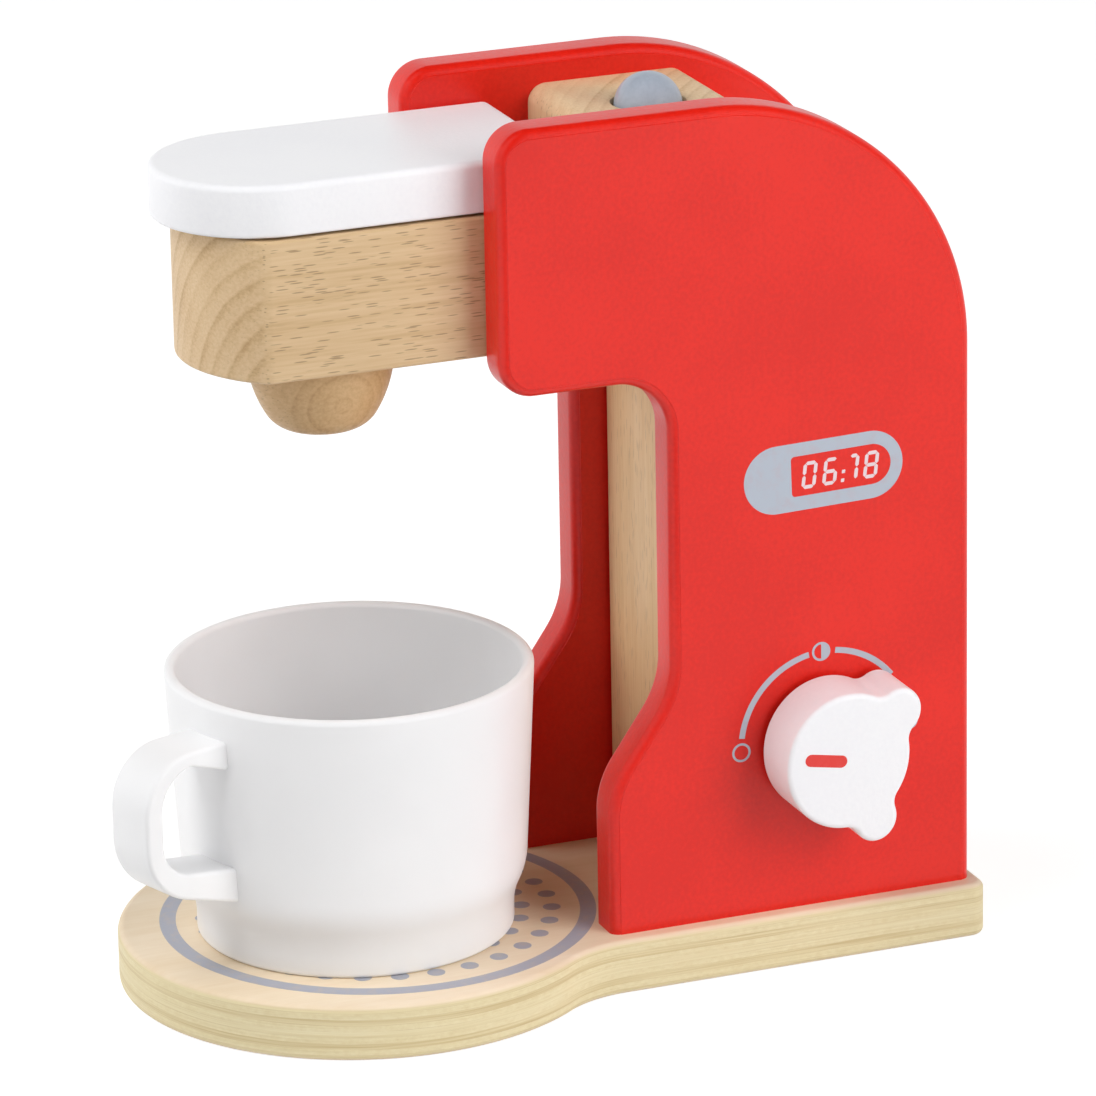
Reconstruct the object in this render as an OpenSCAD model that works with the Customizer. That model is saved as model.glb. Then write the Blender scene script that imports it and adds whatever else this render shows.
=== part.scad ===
// Toy coffee maker: a plywood base with a round cup tray, two painted side panels, and between
// them a wooden brew head with a hinged lid, a sprung button, and a post. A knob turns on the
// right-hand panel and a cup stands on the tray.
// Millimetres, +Z up, front towards -Y. The origin is on the underside of the base, halfway
// along it. Distances called reach or depth run forward from the back edges of the side panels.

/* [Base board] */
// Thickness of the plywood base
base_t = 12; // [9:0.5:18]
// Radius of the round tray that the cup stands on
tray_r = 52; // [48:1:60]
// Distance of the tray's centre ahead of the panels' back edges
tray_reach = 126.5; // [122:0.5:140]
// How far the tail of the base shows beside each side panel
base_lip = 3.9; // [2:0.1:8]
// How far the base runs on behind the side panels
base_tail = 2.5; // [1:0.5:10]
// Radius of the hollow curve between tray and tail
waist_r = 24; // [12:1:30]
// Radius of the base's back corners
base_corner_r = 3.5; // [2:0.5:10]
// Rounding of the base's rims
base_round = 1.5; // [0.5:0.25:2.5]

/* [Side panels] */
// Thickness of each side panel
panel_t = 10; // [8:0.5:14]
// Height of the panels' top edge above the table
height = 189; // [182:1:210]
// Distance from the back edge to the front of the arm
arm_reach = 105; // [100:1:112]
// Depth of the arm from its top edge to its underside
arm_depth = 56.6; // [52:0.1:62]
// Distance from the back edge to the front of the neck
neck_reach = 68.1; // [64:0.1:70]
// Distance from the back edge to the front of the foot
foot_reach = 82.5; // [78:0.5:90]
// Height of the foot's upright front above the base
foot_h = 25.3; // [16:0.5:32]
// Radius of the large curve at the top of the back
back_r = 57; // [48:0.5:62]
// Radius of the arm's two front corners
arm_corner_r = 7.5; // [4:0.5:12]
// Radius of the inside corner under the arm
armpit_r = 11.3; // [6:0.5:16]
// Radius of both bends of the S between neck and foot
swell_r = 20; // [12:1:24]
// Lean of the straight stretch in the middle of the S
swell_angle = 35; // [25:1:40]
// Rounding of the panels' edges
panel_round = 2; // [1:0.25:3]

/* [Wooden blocks] */
// Width of the blocks that keep the panels apart
block_w = 45.6; // [42:0.2:52]
// Distance from the back edges to the tip of the brew head
head_reach = 162.5; // [156:1:172]
// Height of the brew head
head_h = 30; // [28:0.1:34]
// How far the top of the brew head lies below the panels' top edge
head_drop = 19.7; // [19:0.1:21]
// Radius of the brew head's bowed front, seen from above
head_bow_r = 29; // [27:1:40]
// Radius of the two front corners of the brew head
head_corner_r = 4; // [2:0.5:6]
// Rounding of the brew head's rims
head_round = 0.8; // [0.4:0.1:1.5]
// Distance from the back edges to the front of the button block
block_reach = 76.7; // [75:0.1:79]
// How far the top of the button block lies below the panels' top edge
block_drop = 6.1; // [4:0.1:8]
// Distance from the back edges to where the button block's sloping back begins
slope_reach = 43.3; // [38:0.1:44]
// Slope of the button block's back, below level
slope_angle = 37.4; // [32:0.2:42]
// Radius of the button block's top edges
block_edge_r = 4; // [2:0.5:6]
// Distance from the back edges to the backs of button block and post
block_inset = 10; // [6:0.5:14]
// Distance from the back edges to the front of the post
post_reach = 60.5; // [56:0.5:66]

/* [Nozzle] */
// Distance from the back edges to the nozzle's axis
nozzle_reach = 132.5; // [128:0.5:138]
// Radius of the nozzle where it meets the brew head
nozzle_top_r = 15.5; // [13:0.1:18]
// Radius of the nozzle's bulging flank, seen from the side
nozzle_bulge_r = 27.3; // [23:0.1:36]
// Height of the nozzle below the brew head
nozzle_h = 17.4; // [14:0.1:20]
// Rounding between the nozzle's flank and its flat end
nozzle_round = 7; // [4:0.1:8]
// Diameter of the nozzle's tenon
tenon_d = 10; // [6:0.5:14]
// Length of the nozzle's tenon
tenon_l = 9; // [5:0.5:11]

/* [Lid] */
// Distance from the back edges to the tip of the lid
lid_reach = 167.3; // [164:0.1:175]
// Distance from the back edges to the rear edge of the lid
lid_rear_reach = 86; // [84.6:0.1:87]
// Thickness of the lid
lid_t = 11; // [9:0.1:13]
// Gap between the lid and each side panel
lid_side_gap = 0.3; // [0.2:0.1:1]
// Gap between the closed lid and the brew head
lid_seat_gap = 0.5; // [0.2:0.1:0.8]
// Rounding of the lid's upper rim
lid_round = 1.5; // [0.5:0.25:2]
// Rounding of the lid's lower rim
lid_foot_round = 0.8; // [0.4:0.1:1.5]
// Radius of the lid's rear corners
lid_corner_r = 2; // [2:0.5:5]
// Diameter of the pin that the lid turns on
lid_pin_d = 3; // [2:0.25:4]
// How far the pin goes into each side panel
lid_pin_grip = 5; // [3:0.5:7]
// Radius of the round chamber under the lid
chamber_r = 16; // [12:0.5:18]
// Depth of the chamber under the lid
chamber_depth = 8; // [4:0.5:10]

/* [Button] */
// Diameter of the ball that is pressed
ball_d = 14.4; // [12:0.1:15]
// Distance from the back edges to the ball's axis
button_reach = 58.7; // [54:0.1:60]
// How far the ball stands out of the button block
ball_rise = 6.2; // [5:0.1:7]
// Gap between the ball and the hole around it
ball_gap = 0.7; // [0.3:0.1:0.9]
// How far the button goes down
button_travel = 4; // [2:0.5:4.5]
// Diameter of the stem under the ball
stem_d = 5; // [4:0.25:6]
// How far the stem is glued into the ball
stem_grip = 6; // [4:0.5:8]
// Depth of the ball's hole in the button block
ball_hole_depth = 23.6; // [22:0.1:27]
// Wire thickness of the button's spring
wire_d = 0.9; // [0.6:0.1:1.1]
// Mean diameter of the button's spring
spring_d = 9; // [8:0.25:10]
// Turns of the button's spring
spring_turns = 5; // [3:0.5:6]
// Diameter of the collar that holds the stem
collar_d = 11; // [9:0.5:13]
// Thickness of the collar
collar_t = 2; // [1.5:0.25:3]

/* [Knob] */
// Distance from the back edges to the knob's axis
knob_reach = 34.6; // [30:0.1:38]
// Height of the knob's axis above the table
knob_z = 48.9; // [46:0.1:60]
// Radius of the knob's round body
knob_r = 13.9; // [12:0.1:15]
// Thickness of the knob
knob_t = 14.2; // [10:0.1:16]
// Radius of the knob's two round lobes
lobe_r = 4.8; // [4:0.1:6]
// Distance of the lobes' centres from the knob's axis
lobe_reach = 14.4; // [13.5:0.1:16]
// Half the angle between the two lobes
lobe_angle = 50.2; // [45:0.2:60]
// Radius of the hollow between body and lobe
valley_r = 3.3; // [2.5:0.1:6]
// How much wider the knob is across than its round body and lobes alone would make it
knob_stretch = 1.07; // [1:0.01:1.15]
// Rounding of the knob's rims
knob_round = 1.1; // [0.6:0.1:2]
// Turn of the knob at rest, from pointing straight forward
knob_turn = 13.8; // [0:0.2:30]
// Gap between the knob and the side panel
knob_gap = 1; // [0.5:0.1:2]
// Diameter of the knob's axle
axle_d = 8; // [6:0.5:10]
// How far the axle is glued into the knob
axle_grip = 8; // [5:0.5:9]
// Diameter of the disc that holds the axle
keeper_d = 16; // [13:0.5:18]
// Thickness of the disc that holds the axle
keeper_t = 3; // [2:0.5:4]

/* [Cup] */
// Distance from the back edges to the cup's axis
cup_reach = 128.7; // [127:0.1:134]
// Sideways place of the cup on the tray
cup_side = 1.8; // [-5:0.2:5]
// Height of the cup
cup_h = 58.5; // [54:0.5:64]
// Outer radius of the cup's rim
cup_rim_r = 38.8; // [37.6:0.1:40]
// Outer radius of the cup's wall where it begins to turn in
cup_waist_r = 36.7; // [35.5:0.1:37.5]
// Radius of the foot where it stands
cup_foot_r = 33.9; // [32:0.1:35]
// Thickness of the cup's wall
cup_wall = 2.5; // [2.2:0.1:3.4]
// Thickness of the cup's floor
cup_floor = 3.5; // [3:0.25:5]
// Height at which the cup's wall begins to turn in to the foot
cup_shoulder_z = 17.4; // [16:0.2:20]
// Height of the foot's straight side
cup_foot_h = 3.8; // [3:0.2:6]
// Radius inside the cup between wall and floor
cup_bowl_r = 13; // [11:0.5:15]
// How far the hollow under the cup's foot is raised
cup_recess = 1; // [0.5:0.25:1.75]
// Turn of the handle from straight forward, towards the knob's side
handle_turn = 19.3; // [0:0.1:45]
// Distance from the cup's axis to the outside of the handle
handle_reach = 58.9; // [54:0.1:62]
// Width of the handle's strap
handle_w = 12.5; // [9:0.5:16]
// Thickness of the strap at its outermost
handle_t = 4.3; // [3.5:0.1:5.5]
// Height of the strap's upper edge above the tray
handle_top = 51.2; // [48:0.2:52.5]
// Height of the strap's lower edge above the tray, at the cup's wall
handle_foot = 15; // [12:0.2:18]

/* [Fasteners] */
// Diameter of the glued dowels
dowel_d = 6; // [5:0.5:7]
// How far a dowel goes into a side panel
dowel_grip_panel = 6; // [4:0.5:7]
// How far a dowel goes into a block
dowel_grip_block = 9; // [6:0.5:11]
// Shank diameter of the screws through the base
screw_d = 3.5; // [3:0.25:4.5]
// Length of the screws through the base
screw_l = 30; // [22:1:34]
// Head diameter of the screws through the base
screw_head_d = 7; // [6:0.25:8]
// How far the screw heads are sunk below the base's underside
screw_sink = 0.5; // [0.2:0.1:1.5]

/* [Hidden] */
$fn = 96;

// clearances that are the same wherever pieces run in or on each other
run_gap = 0.05;          // radial gap of a shaft in its bore
face_gap = 0.3;          // gap between faces that slide past each other
seat_gap = 0.1;          // gap between a moving face and the stop that it rests against
glue_room = 1;           // depth left free beyond the end of a glued dowel
eps = 0.01;              // overshoot of a cut past the face that it opens

// sizes that follow from the driving ones
body_w = block_w + 2 * panel_t;
base_w = body_w + 2 * base_lip;
base_l = tray_reach + tray_r + base_tail;
back_y = base_l / 2 - base_tail;
panel_x = block_w / 2;
head_top = height - head_drop;
head_bottom = head_top - head_h;
arm_bottom = height - arm_depth;
block_top = height - block_drop;
swell_out = foot_reach - neck_reach;
swell_straight = (swell_out - 2 * swell_r * (1 - cos(swell_angle))) / sin(swell_angle);
swell_low_z = base_t + foot_h;
swell_high_z = swell_low_z + 2 * swell_r * sin(swell_angle) + swell_straight * cos(swell_angle);

lid_w = block_w - 2 * lid_side_gap;
lid_bottom = head_top + lid_seat_gap;
hinge_z = lid_bottom + lid_t / 2;
lid_heel_r = lid_t / 2 + lid_seat_gap - face_gap;
hinge_reach = lid_rear_reach + lid_heel_r;

ball_z = block_top + ball_rise - ball_d / 2;
ball_hole_d = ball_d + 2 * ball_gap;
ball_hole_z = block_top - ball_hole_depth;
collar_screw_d = 2.5;
collar_screw_l = 9;      // length in the stem
collar_screw_head_d = 5;
collar_screw_head_t = 1.6;
collar_room = seat_gap + collar_t + collar_screw_head_t + button_travel + face_gap;
stem_bottom = head_bottom + collar_room - seat_gap;
stem_top = ball_z - ball_d / 2 + stem_grip;
// the spring bears on the ball where a circle of its mean diameter touches it
spring_top = ball_z - sqrt(pow(ball_d / 2 + wire_d / 2, 2) - pow(spring_d / 2, 2));
spring_bottom = ball_hole_z + wire_d / 2;

knob_x = body_w / 2 + knob_gap;
keeper_x = panel_x - face_gap - keeper_t;
keeper_room = keeper_t + 2 * face_gap;

// where the dowels and screws stand, as distances ahead of the back edges and heights
head_dowel_reach = [arm_reach - 1.5 * dowel_d, block_reach + 1.2 * dowel_d];
head_dowel_z = head_bottom + head_h / 3;
block_dowel_reach = [block_inset + 2.5 * dowel_d, post_reach - 2 * dowel_d];
block_dowel_z = head_bottom + 2.5 * dowel_d;
post_dowel_z = [base_t + 2.5 * dowel_d, arm_bottom - 3.5 * dowel_d];
post_dowel_reach = (post_reach + block_inset) / 2 + dowel_d;
panel_screw_reach = [block_inset + 2 * screw_head_d, foot_reach - 2 * screw_head_d];
post_screw_reach = [block_inset + 2 * screw_head_d, post_reach - 2 * screw_head_d];

// a distance ahead of the panels' back edges as a Y coordinate
function fwd(d) = back_y - d;

// points of an arc round c, from angle a to angle b in n steps, both ends included
function arc(c, r, a, b, n) = [for (i = [0:n]) let (t = a + (b - a) * i / n) c + r * [cos(t), sin(t)]];

// a list without its last point, for an arc whose end is the next arc's start
function open(points) = [for (i = [0:len(points) - 2]) points[i]];

// The triangles that fill an outline, as triples of its indices: corner after corner is cut off
// the ring of those that are left, wherever the corner is convex and none of the others lies in it.
function turn(a, b, c) = (b[0] - a[0]) * (c[1] - a[1]) - (b[1] - a[1]) * (c[0] - a[0]);
function covers(a, b, c, p) = turn(a, b, p) >= 0 && turn(b, c, p) >= 0 && turn(c, a, p) >= 0;
function is_ear(points, i, j, k, ring) =
    turn(points[i], points[j], points[k]) > 0
    && len([for (m = ring)
        if (m != i && m != j && m != k && covers(points[i], points[j], points[k], points[m])) m]) == 0;
function fill(points, ring, at = 0) =
    let (n = len(ring), i = ring[at % n], j = ring[(at + 1) % n], k = ring[(at + 2) % n])
    n == 3 ? [ring]
    : is_ear(points, i, j, k, ring)
        ? concat([[i, j, k]], fill(points, [for (m = ring) if (m != j) m], at + 1))
        : fill(points, ring, at + 1);

// A plate of thickness t that stands on Z = 0. outline(d) gives its outline, anticlockwise, with
// every edge drawn in by d; the rims are quarter rounds in the given number of steps, of radius r
// above and foot_r below.
module rounded_plate(outline, t, r, foot_r, steps = 4) {
    turns = [for (i = [0:steps]) 90 * i / steps];
    low = [for (a = turns) foot_r * [1 - sin(a), 1 - cos(a)]];
    high = [for (a = turns) [r * (1 - cos(a)), t - r * (1 - sin(a))]];
    levels = concat(low, high);
    points = [for (level = levels) for (p = outline(level[0])) [p[0], p[1], level[1]]];
    n = len(outline(r));
    top = (len(levels) - 1) * n;
    sides = [for (k = [0:len(levels) - 2]) for (i = [0:n - 1])
        [k * n + i, (k + 1) * n + i, (k + 1) * n + (i + 1) % n, k * n + (i + 1) % n]];
    floor_faces = fill(outline(foot_r), [for (i = [0:n - 1]) i]);
    top_faces = [for (f = floor_faces) [top + f[2], top + f[1], top + f[0]]];
    polyhedron(points, concat(sides, floor_faces, top_faces));
}

// turns a plate drawn in X, Y into one that stands across X, its drawing seen as Y, Z
module across(x) {
    translate([x, 0, 0]) rotate([90, 0, 90]) children();
}

// a cylinder along X from x0 to x1
module rod_x(x0, x1, d, reach, z) {
    translate([x0, fwd(reach), z]) rotate([0, 90, 0]) cylinder(d = d, h = x1 - x0);
}

// outline of the base, seen from above
waist_y = fwd(tray_reach) + sqrt(pow(tray_r + waist_r, 2) - pow(base_w / 2 + waist_r, 2));
waist_angle = atan2(waist_y - fwd(tray_reach), base_w / 2 + waist_r);
function base_outline(d) = concat(
    arc([base_w / 2 - base_corner_r, base_l / 2 - base_corner_r], base_corner_r - d, 0, 90, 6),
    arc([base_corner_r - base_w / 2, base_l / 2 - base_corner_r], base_corner_r - d, 90, 180, 6),
    open(arc([-base_w / 2 - waist_r, waist_y], waist_r + d, 0, -waist_angle, 8)),
    open(arc([0, fwd(tray_reach)], tray_r - d, 180 - waist_angle, 360 + waist_angle, 60)),
    arc([base_w / 2 + waist_r, waist_y], waist_r + d, 180 + waist_angle, 180, 8));

// outline of a side panel in Y, Z; its bottom edge stays on the base however far the rest draws in
function panel_outline(d) = concat(
    [[fwd(foot_reach) + d, base_t], [back_y - d, base_t]],
    arc([back_y - back_r, height - back_r], back_r - d, 0, 90, 24),
    arc([fwd(arm_reach) + arm_corner_r, height - arm_corner_r], arm_corner_r - d, 90, 180, 8),
    arc([fwd(arm_reach) + arm_corner_r, arm_bottom + arm_corner_r], arm_corner_r - d, 180, 270, 8),
    arc([fwd(neck_reach) - armpit_r, arm_bottom - armpit_r], armpit_r + d, 90, 0, 8),
    arc([fwd(neck_reach) - swell_r, swell_high_z], swell_r + d, 0, -swell_angle, 8),
    arc([fwd(foot_reach) + swell_r, swell_low_z], swell_r - d, 180 - swell_angle, 180, 8));

// outline of the brew head, seen from above: bowed front, small corner radii, square back
bow_y = fwd(head_reach) + head_bow_r;
corner_y = bow_y - sqrt(pow(head_bow_r - head_corner_r, 2) - pow(panel_x - head_corner_r, 2));
corner_angle = atan2(bow_y - corner_y, panel_x - head_corner_r);
function head_outline(d) = concat(
    [[panel_x - d, fwd(block_reach)], [d - panel_x, fwd(block_reach)]],
    open(arc([head_corner_r - panel_x, corner_y], head_corner_r - d, 180, 180 + corner_angle, 6)),
    open(arc([0, bow_y], head_bow_r - d, 180 + corner_angle, 360 - corner_angle, 16)),
    arc([panel_x - head_corner_r, corner_y], head_corner_r - d, -corner_angle, 0, 6));

// outline of the lid, seen from above: half-round front, small rear corners
function lid_outline(d) = concat(
    arc([lid_w / 2 - lid_corner_r, fwd(lid_rear_reach) - lid_corner_r], lid_corner_r - d, 0, 90, 5),
    arc([lid_corner_r - lid_w / 2, fwd(lid_rear_reach) - lid_corner_r], lid_corner_r - d, 90, 180, 5),
    arc([0, fwd(lid_reach) + lid_w / 2], lid_w / 2 - d, 180, 360, 36));

// Outline of the knob about its own axis, its two lobes facing +X: a disc and two lobes, joined by
// hollows that touch both. valley_turn is the angle at the axis between a hollow and its lobe, and
// valley_face the direction from the hollow's centre to the lobe's, for a lobe at angle 0.
valley_turn = acos((pow(lobe_reach, 2) + pow(knob_r + valley_r, 2) - pow(lobe_r + valley_r, 2))
                   / (2 * lobe_reach * (knob_r + valley_r)));
valley_face = atan2((knob_r + valley_r) * sin(valley_turn),
                    lobe_reach - (knob_r + valley_r) * cos(valley_turn));
function polar(r, a) = r * [cos(a), sin(a)];
function lobe_outline(d, a) =
    let (before = polar(knob_r + valley_r, a - valley_turn),
         after = polar(knob_r + valley_r, a + valley_turn))
    concat(
        open(arc(before, valley_r + d, a + 180 - valley_turn, a + valley_face, 5)),
        open(arc(polar(lobe_reach, a), lobe_r - d, a + valley_face - 180, a + 180 - valley_face, 14)),
        open(arc(after, valley_r + d, a - valley_face, a + valley_turn - 180, 5)));
function knob_outline(d) = concat(
    open(arc([0, 0], knob_r - d, valley_turn - lobe_angle, lobe_angle - valley_turn, 8)),
    lobe_outline(d, lobe_angle),
    open(arc([0, 0], knob_r - d, lobe_angle + valley_turn, 360 - lobe_angle - valley_turn, 32)),
    lobe_outline(d, -lobe_angle));

// a dowel along X with small chamfers, its middle on a block's face
module dowel(side, reach, z) {
    chamfer = 0.6;
    r = dowel_d / 2;
    translate([side * panel_x, fwd(reach), z]) rotate([0, side * 90, 0]) rotate_extrude()
        polygon([[0, -dowel_grip_block], [r - chamfer, -dowel_grip_block],
                 [r, chamfer - dowel_grip_block], [r, dowel_grip_panel - chamfer],
                 [r - chamfer, dowel_grip_panel], [0, dowel_grip_panel]]);
}

// the two blind holes that a dowel sits in
module dowel_holes(reach, z) {
    x0 = panel_x - dowel_grip_block - glue_room;
    x1 = panel_x + dowel_grip_panel + glue_room;
    rod_x(x0, x1, dowel_d, reach, z);
    rod_x(-x1, -x0, dowel_d, reach, z);
}

// a countersunk screw driven up through the base
module base_screw(x, reach) {
    head_h = (screw_head_d - screw_d) / 2;
    tip_h = 1.5 * screw_d;
    r = screw_d / 2;
    translate([x, fwd(reach), screw_sink]) rotate_extrude()
        polygon([[0, 0], [screw_head_d / 2, 0], [r, head_h], [r, screw_l - tip_h], [0, screw_l]]);
}

// the countersunk hole for such a screw: it fits the screw and opens at the underside
module screw_hole(x, reach) {
    base_screw(x, reach);
    translate([x, fwd(reach), -eps]) cylinder(d = screw_head_d, h = screw_sink + 2 * eps);
}

module panel_screw_holes() {
    for (reach = panel_screw_reach) for (side = [-1, 1]) screw_hole(side * (panel_x + panel_t / 2), reach);
}

module post_screw_holes() {
    for (reach = post_screw_reach) screw_hole(0, reach);
}

module base_board() {
    color("burlywood") difference() {
        rounded_plate(function (d) base_outline(d), base_t, base_round, base_round);
        panel_screw_holes();
        post_screw_holes();
    }
}

// one side panel, its inner face on the blocks; side is 1 for the knob's side and -1 for the other
module side_panel(side) {
    inner = side > 0 ? panel_x : -panel_x - panel_t;
    difference() {
        across(inner) rounded_plate(function (d) panel_outline(d), panel_t, panel_round, panel_round);
        for (reach = head_dowel_reach) dowel_holes(reach, head_dowel_z);
        for (reach = block_dowel_reach) dowel_holes(reach, block_dowel_z);
        for (z = post_dowel_z) dowel_holes(post_dowel_reach, z);
        rod_x(-panel_x - lid_pin_grip, panel_x + lid_pin_grip, lid_pin_d, hinge_reach, hinge_z);
        panel_screw_holes();
    }
}

module left_side_panel() {
    color("crimson") side_panel(-1);
}

module right_side_panel() {
    color("crimson") difference() {
        side_panel(1);
        rod_x(panel_x - eps, panel_x + panel_t + eps, axle_d + 2 * run_gap, knob_reach, knob_z);
    }
}

module brew_head() {
    color("tan") difference() {
        translate([0, 0, head_bottom])
            rounded_plate(function (d) head_outline(d), head_h, head_round, head_round);
        translate([0, fwd(nozzle_reach), head_top - chamber_depth])
            cylinder(r = chamber_r, h = chamber_depth + eps);
        translate([0, fwd(nozzle_reach), head_bottom - eps]) cylinder(d = tenon_d, h = tenon_l + eps);
        for (reach = head_dowel_reach) dowel_holes(reach, head_dowel_z);
    }
}

// Turned nozzle with a tenon glued into the brew head. Its flank leaves the head square to it and
// bulges in to a rounded rim that both the flank and the flat end touch.
module nozzle() {
    drop = nozzle_h - nozzle_round;
    reach = nozzle_bulge_r - nozzle_round;
    flank = [nozzle_top_r - nozzle_bulge_r, 0];
    rim = [flank[0] + sqrt(pow(reach, 2) - pow(drop, 2)), -drop];
    touch = -asin(drop / reach);
    color("tan") translate([0, fwd(nozzle_reach), head_bottom]) rotate_extrude()
        polygon(concat([[0, tenon_l], [tenon_d / 2, tenon_l], [tenon_d / 2, 0]],
                       open(arc(flank, nozzle_bulge_r, 0, touch, 8)),
                       arc(rim, nozzle_round, touch, -90, 8), [[0, -nozzle_h]]));
}

// The lid's lower rear edge is a heel round the hinge pin, so that it turns clear of the brew head.
module lid() {
    heel_y = fwd(hinge_reach);
    color("white") difference() {
        translate([0, 0, lid_bottom])
            rounded_plate(function (d) lid_outline(d), lid_t, lid_round, lid_foot_round);
        difference() {
            translate([-block_w / 2, heel_y, lid_bottom - eps]) cube([block_w, lid_t, lid_t / 2 + eps]);
            rod_x(-block_w, block_w, 2 * lid_heel_r, hinge_reach, hinge_z);
        }
        rod_x(-block_w, block_w, lid_pin_d + 2 * run_gap, hinge_reach, hinge_z);
    }
}

module lid_hinge_pin() {
    color("silver")
        rod_x(-panel_x - lid_pin_grip, panel_x + lid_pin_grip, lid_pin_d, hinge_reach, hinge_z);
}

// outline of the button block in Y, Z: rounded top front edge, sloping back
module block_profile() {
    front = fwd(block_reach);
    back = back_y - block_inset;
    slope_y = fwd(slope_reach);
    slope_foot = block_top - (back - slope_y) * tan(slope_angle);
    bend = block_edge_r * tan(slope_angle / 2);
    polygon(concat(
        [[front, head_bottom], [back, head_bottom], [back, slope_foot]],
        arc([slope_y - bend, block_top - block_edge_r], block_edge_r, 90 - slope_angle, 90, 6),
        arc([front + block_edge_r, block_top - block_edge_r], block_edge_r, 90, 180, 8)));
}

module button_block() {
    color("tan") difference() {
        across(-panel_x) linear_extrude(block_w) block_profile();
        translate([0, fwd(button_reach), 0]) {
            translate([0, 0, ball_hole_z]) cylinder(d = ball_hole_d, h = ball_hole_depth + eps);
            translate([0, 0, head_bottom])
                cylinder(d = stem_d + 2 * run_gap, h = ball_hole_z - head_bottom + eps);
            translate([0, 0, head_bottom - eps]) cylinder(d = collar_d + 2 * ball_gap, h = collar_room + eps);
        }
        for (reach = block_dowel_reach) dowel_holes(reach, block_dowel_z);
    }
}

module button_ball() {
    color("slategray") translate([0, fwd(button_reach), ball_z]) difference() {
        sphere(d = ball_d);
        translate([0, 0, -ball_d]) cylinder(d = stem_d, h = ball_d / 2 + stem_grip);
    }
}

module button_stem() {
    color("burlywood") translate([0, fwd(button_reach), 0]) difference() {
        translate([0, 0, stem_bottom]) cylinder(d = stem_d, h = stem_top - stem_bottom);
        translate([0, 0, stem_bottom - eps]) cylinder(d = collar_screw_d, h = collar_screw_l + eps);
    }
}

// The spring is a round wire swept along a helix.
module button_spring() {
    sides = 8;
    per_turn = 20;
    rings = spring_turns * per_turn;
    rise = spring_top - spring_bottom;
    points = [for (k = [0:rings]) let (a = 360 * k / per_turn) for (j = [0:sides - 1])
        let (b = 360 * j / sides, r = spring_d / 2 + wire_d / 2 * cos(b))
        [r * cos(a), r * sin(a), rise * k / rings + wire_d / 2 * sin(b)]];
    skin = [for (k = [0:rings - 1]) for (j = [0:sides - 1])
        [k * sides + j, k * sides + (j + 1) % sides,
         (k + 1) * sides + (j + 1) % sides, (k + 1) * sides + j]];
    first = [for (j = [0:sides - 1]) sides - 1 - j];
    last = [for (j = [0:sides - 1]) rings * sides + j];
    color("silver") translate([0, fwd(button_reach), spring_bottom])
        polyhedron(points, concat(skin, [first], [last]));
}

// collar at the stem's foot; it stops against the ceiling of its pocket
module button_collar() {
    color("silver") translate([0, fwd(button_reach), stem_bottom - collar_t]) difference() {
        cylinder(d = collar_d, h = collar_t);
        translate([0, 0, -eps]) cylinder(d = collar_screw_d, h = collar_t + 2 * eps);
    }
}

module collar_screw() {
    color("silver") translate([0, fwd(button_reach), stem_bottom - collar_t]) {
        translate([0, 0, -collar_screw_head_t]) cylinder(d = collar_screw_head_d, h = collar_screw_head_t);
        cylinder(d = collar_screw_d, h = collar_screw_l + collar_t);
    }
}

// post between the panels, with a pocket for the keeper on the knob's axle
module back_post() {
    color("peru") difference() {
        translate([-panel_x, fwd(post_reach), base_t])
            cube([block_w, post_reach - block_inset, head_bottom - base_t]);
        rod_x(panel_x - keeper_room, panel_x + eps, keeper_d + 4 * face_gap, knob_reach, knob_z);
        for (z = post_dowel_z) dowel_holes(post_dowel_reach, z);
        post_screw_holes();
    }
}

module knob() {
    color("white") difference() {
        across(knob_x) translate([fwd(knob_reach), knob_z]) rotate(-knob_turn)
            rounded_plate(function (d) [for (p = knob_outline(d)) [p[0], knob_stretch * p[1]]],
                          knob_t, knob_round, knob_round);
        rod_x(knob_x - eps, knob_x + axle_grip, axle_d, knob_reach, knob_z);
    }
}

module knob_axle() {
    color("burlywood") rod_x(keeper_x, knob_x + axle_grip, axle_d, knob_reach, knob_z);
}

module axle_keeper() {
    color("burlywood") difference() {
        rod_x(keeper_x, keeper_x + keeper_t, keeper_d, knob_reach, knob_z);
        rod_x(keeper_x - eps, keeper_x + keeper_t + eps, axle_d, knob_reach, knob_z);
    }
}

module head_dowels() {
    color("burlywood") for (reach = head_dowel_reach) for (side = [-1, 1]) dowel(side, reach, head_dowel_z);
}

module block_dowels() {
    color("burlywood") for (reach = block_dowel_reach) for (side = [-1, 1]) dowel(side, reach, block_dowel_z);
}

module post_dowels() {
    color("burlywood") for (z = post_dowel_z) for (side = [-1, 1]) dowel(side, post_dowel_reach, z);
}

module panel_screws() {
    color("silver") for (reach = panel_screw_reach) for (side = [-1, 1])
        base_screw(side * (panel_x + panel_t / 2), reach);
}

module post_screws() {
    color("silver") for (reach = post_screw_reach) base_screw(0, reach);
}

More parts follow.
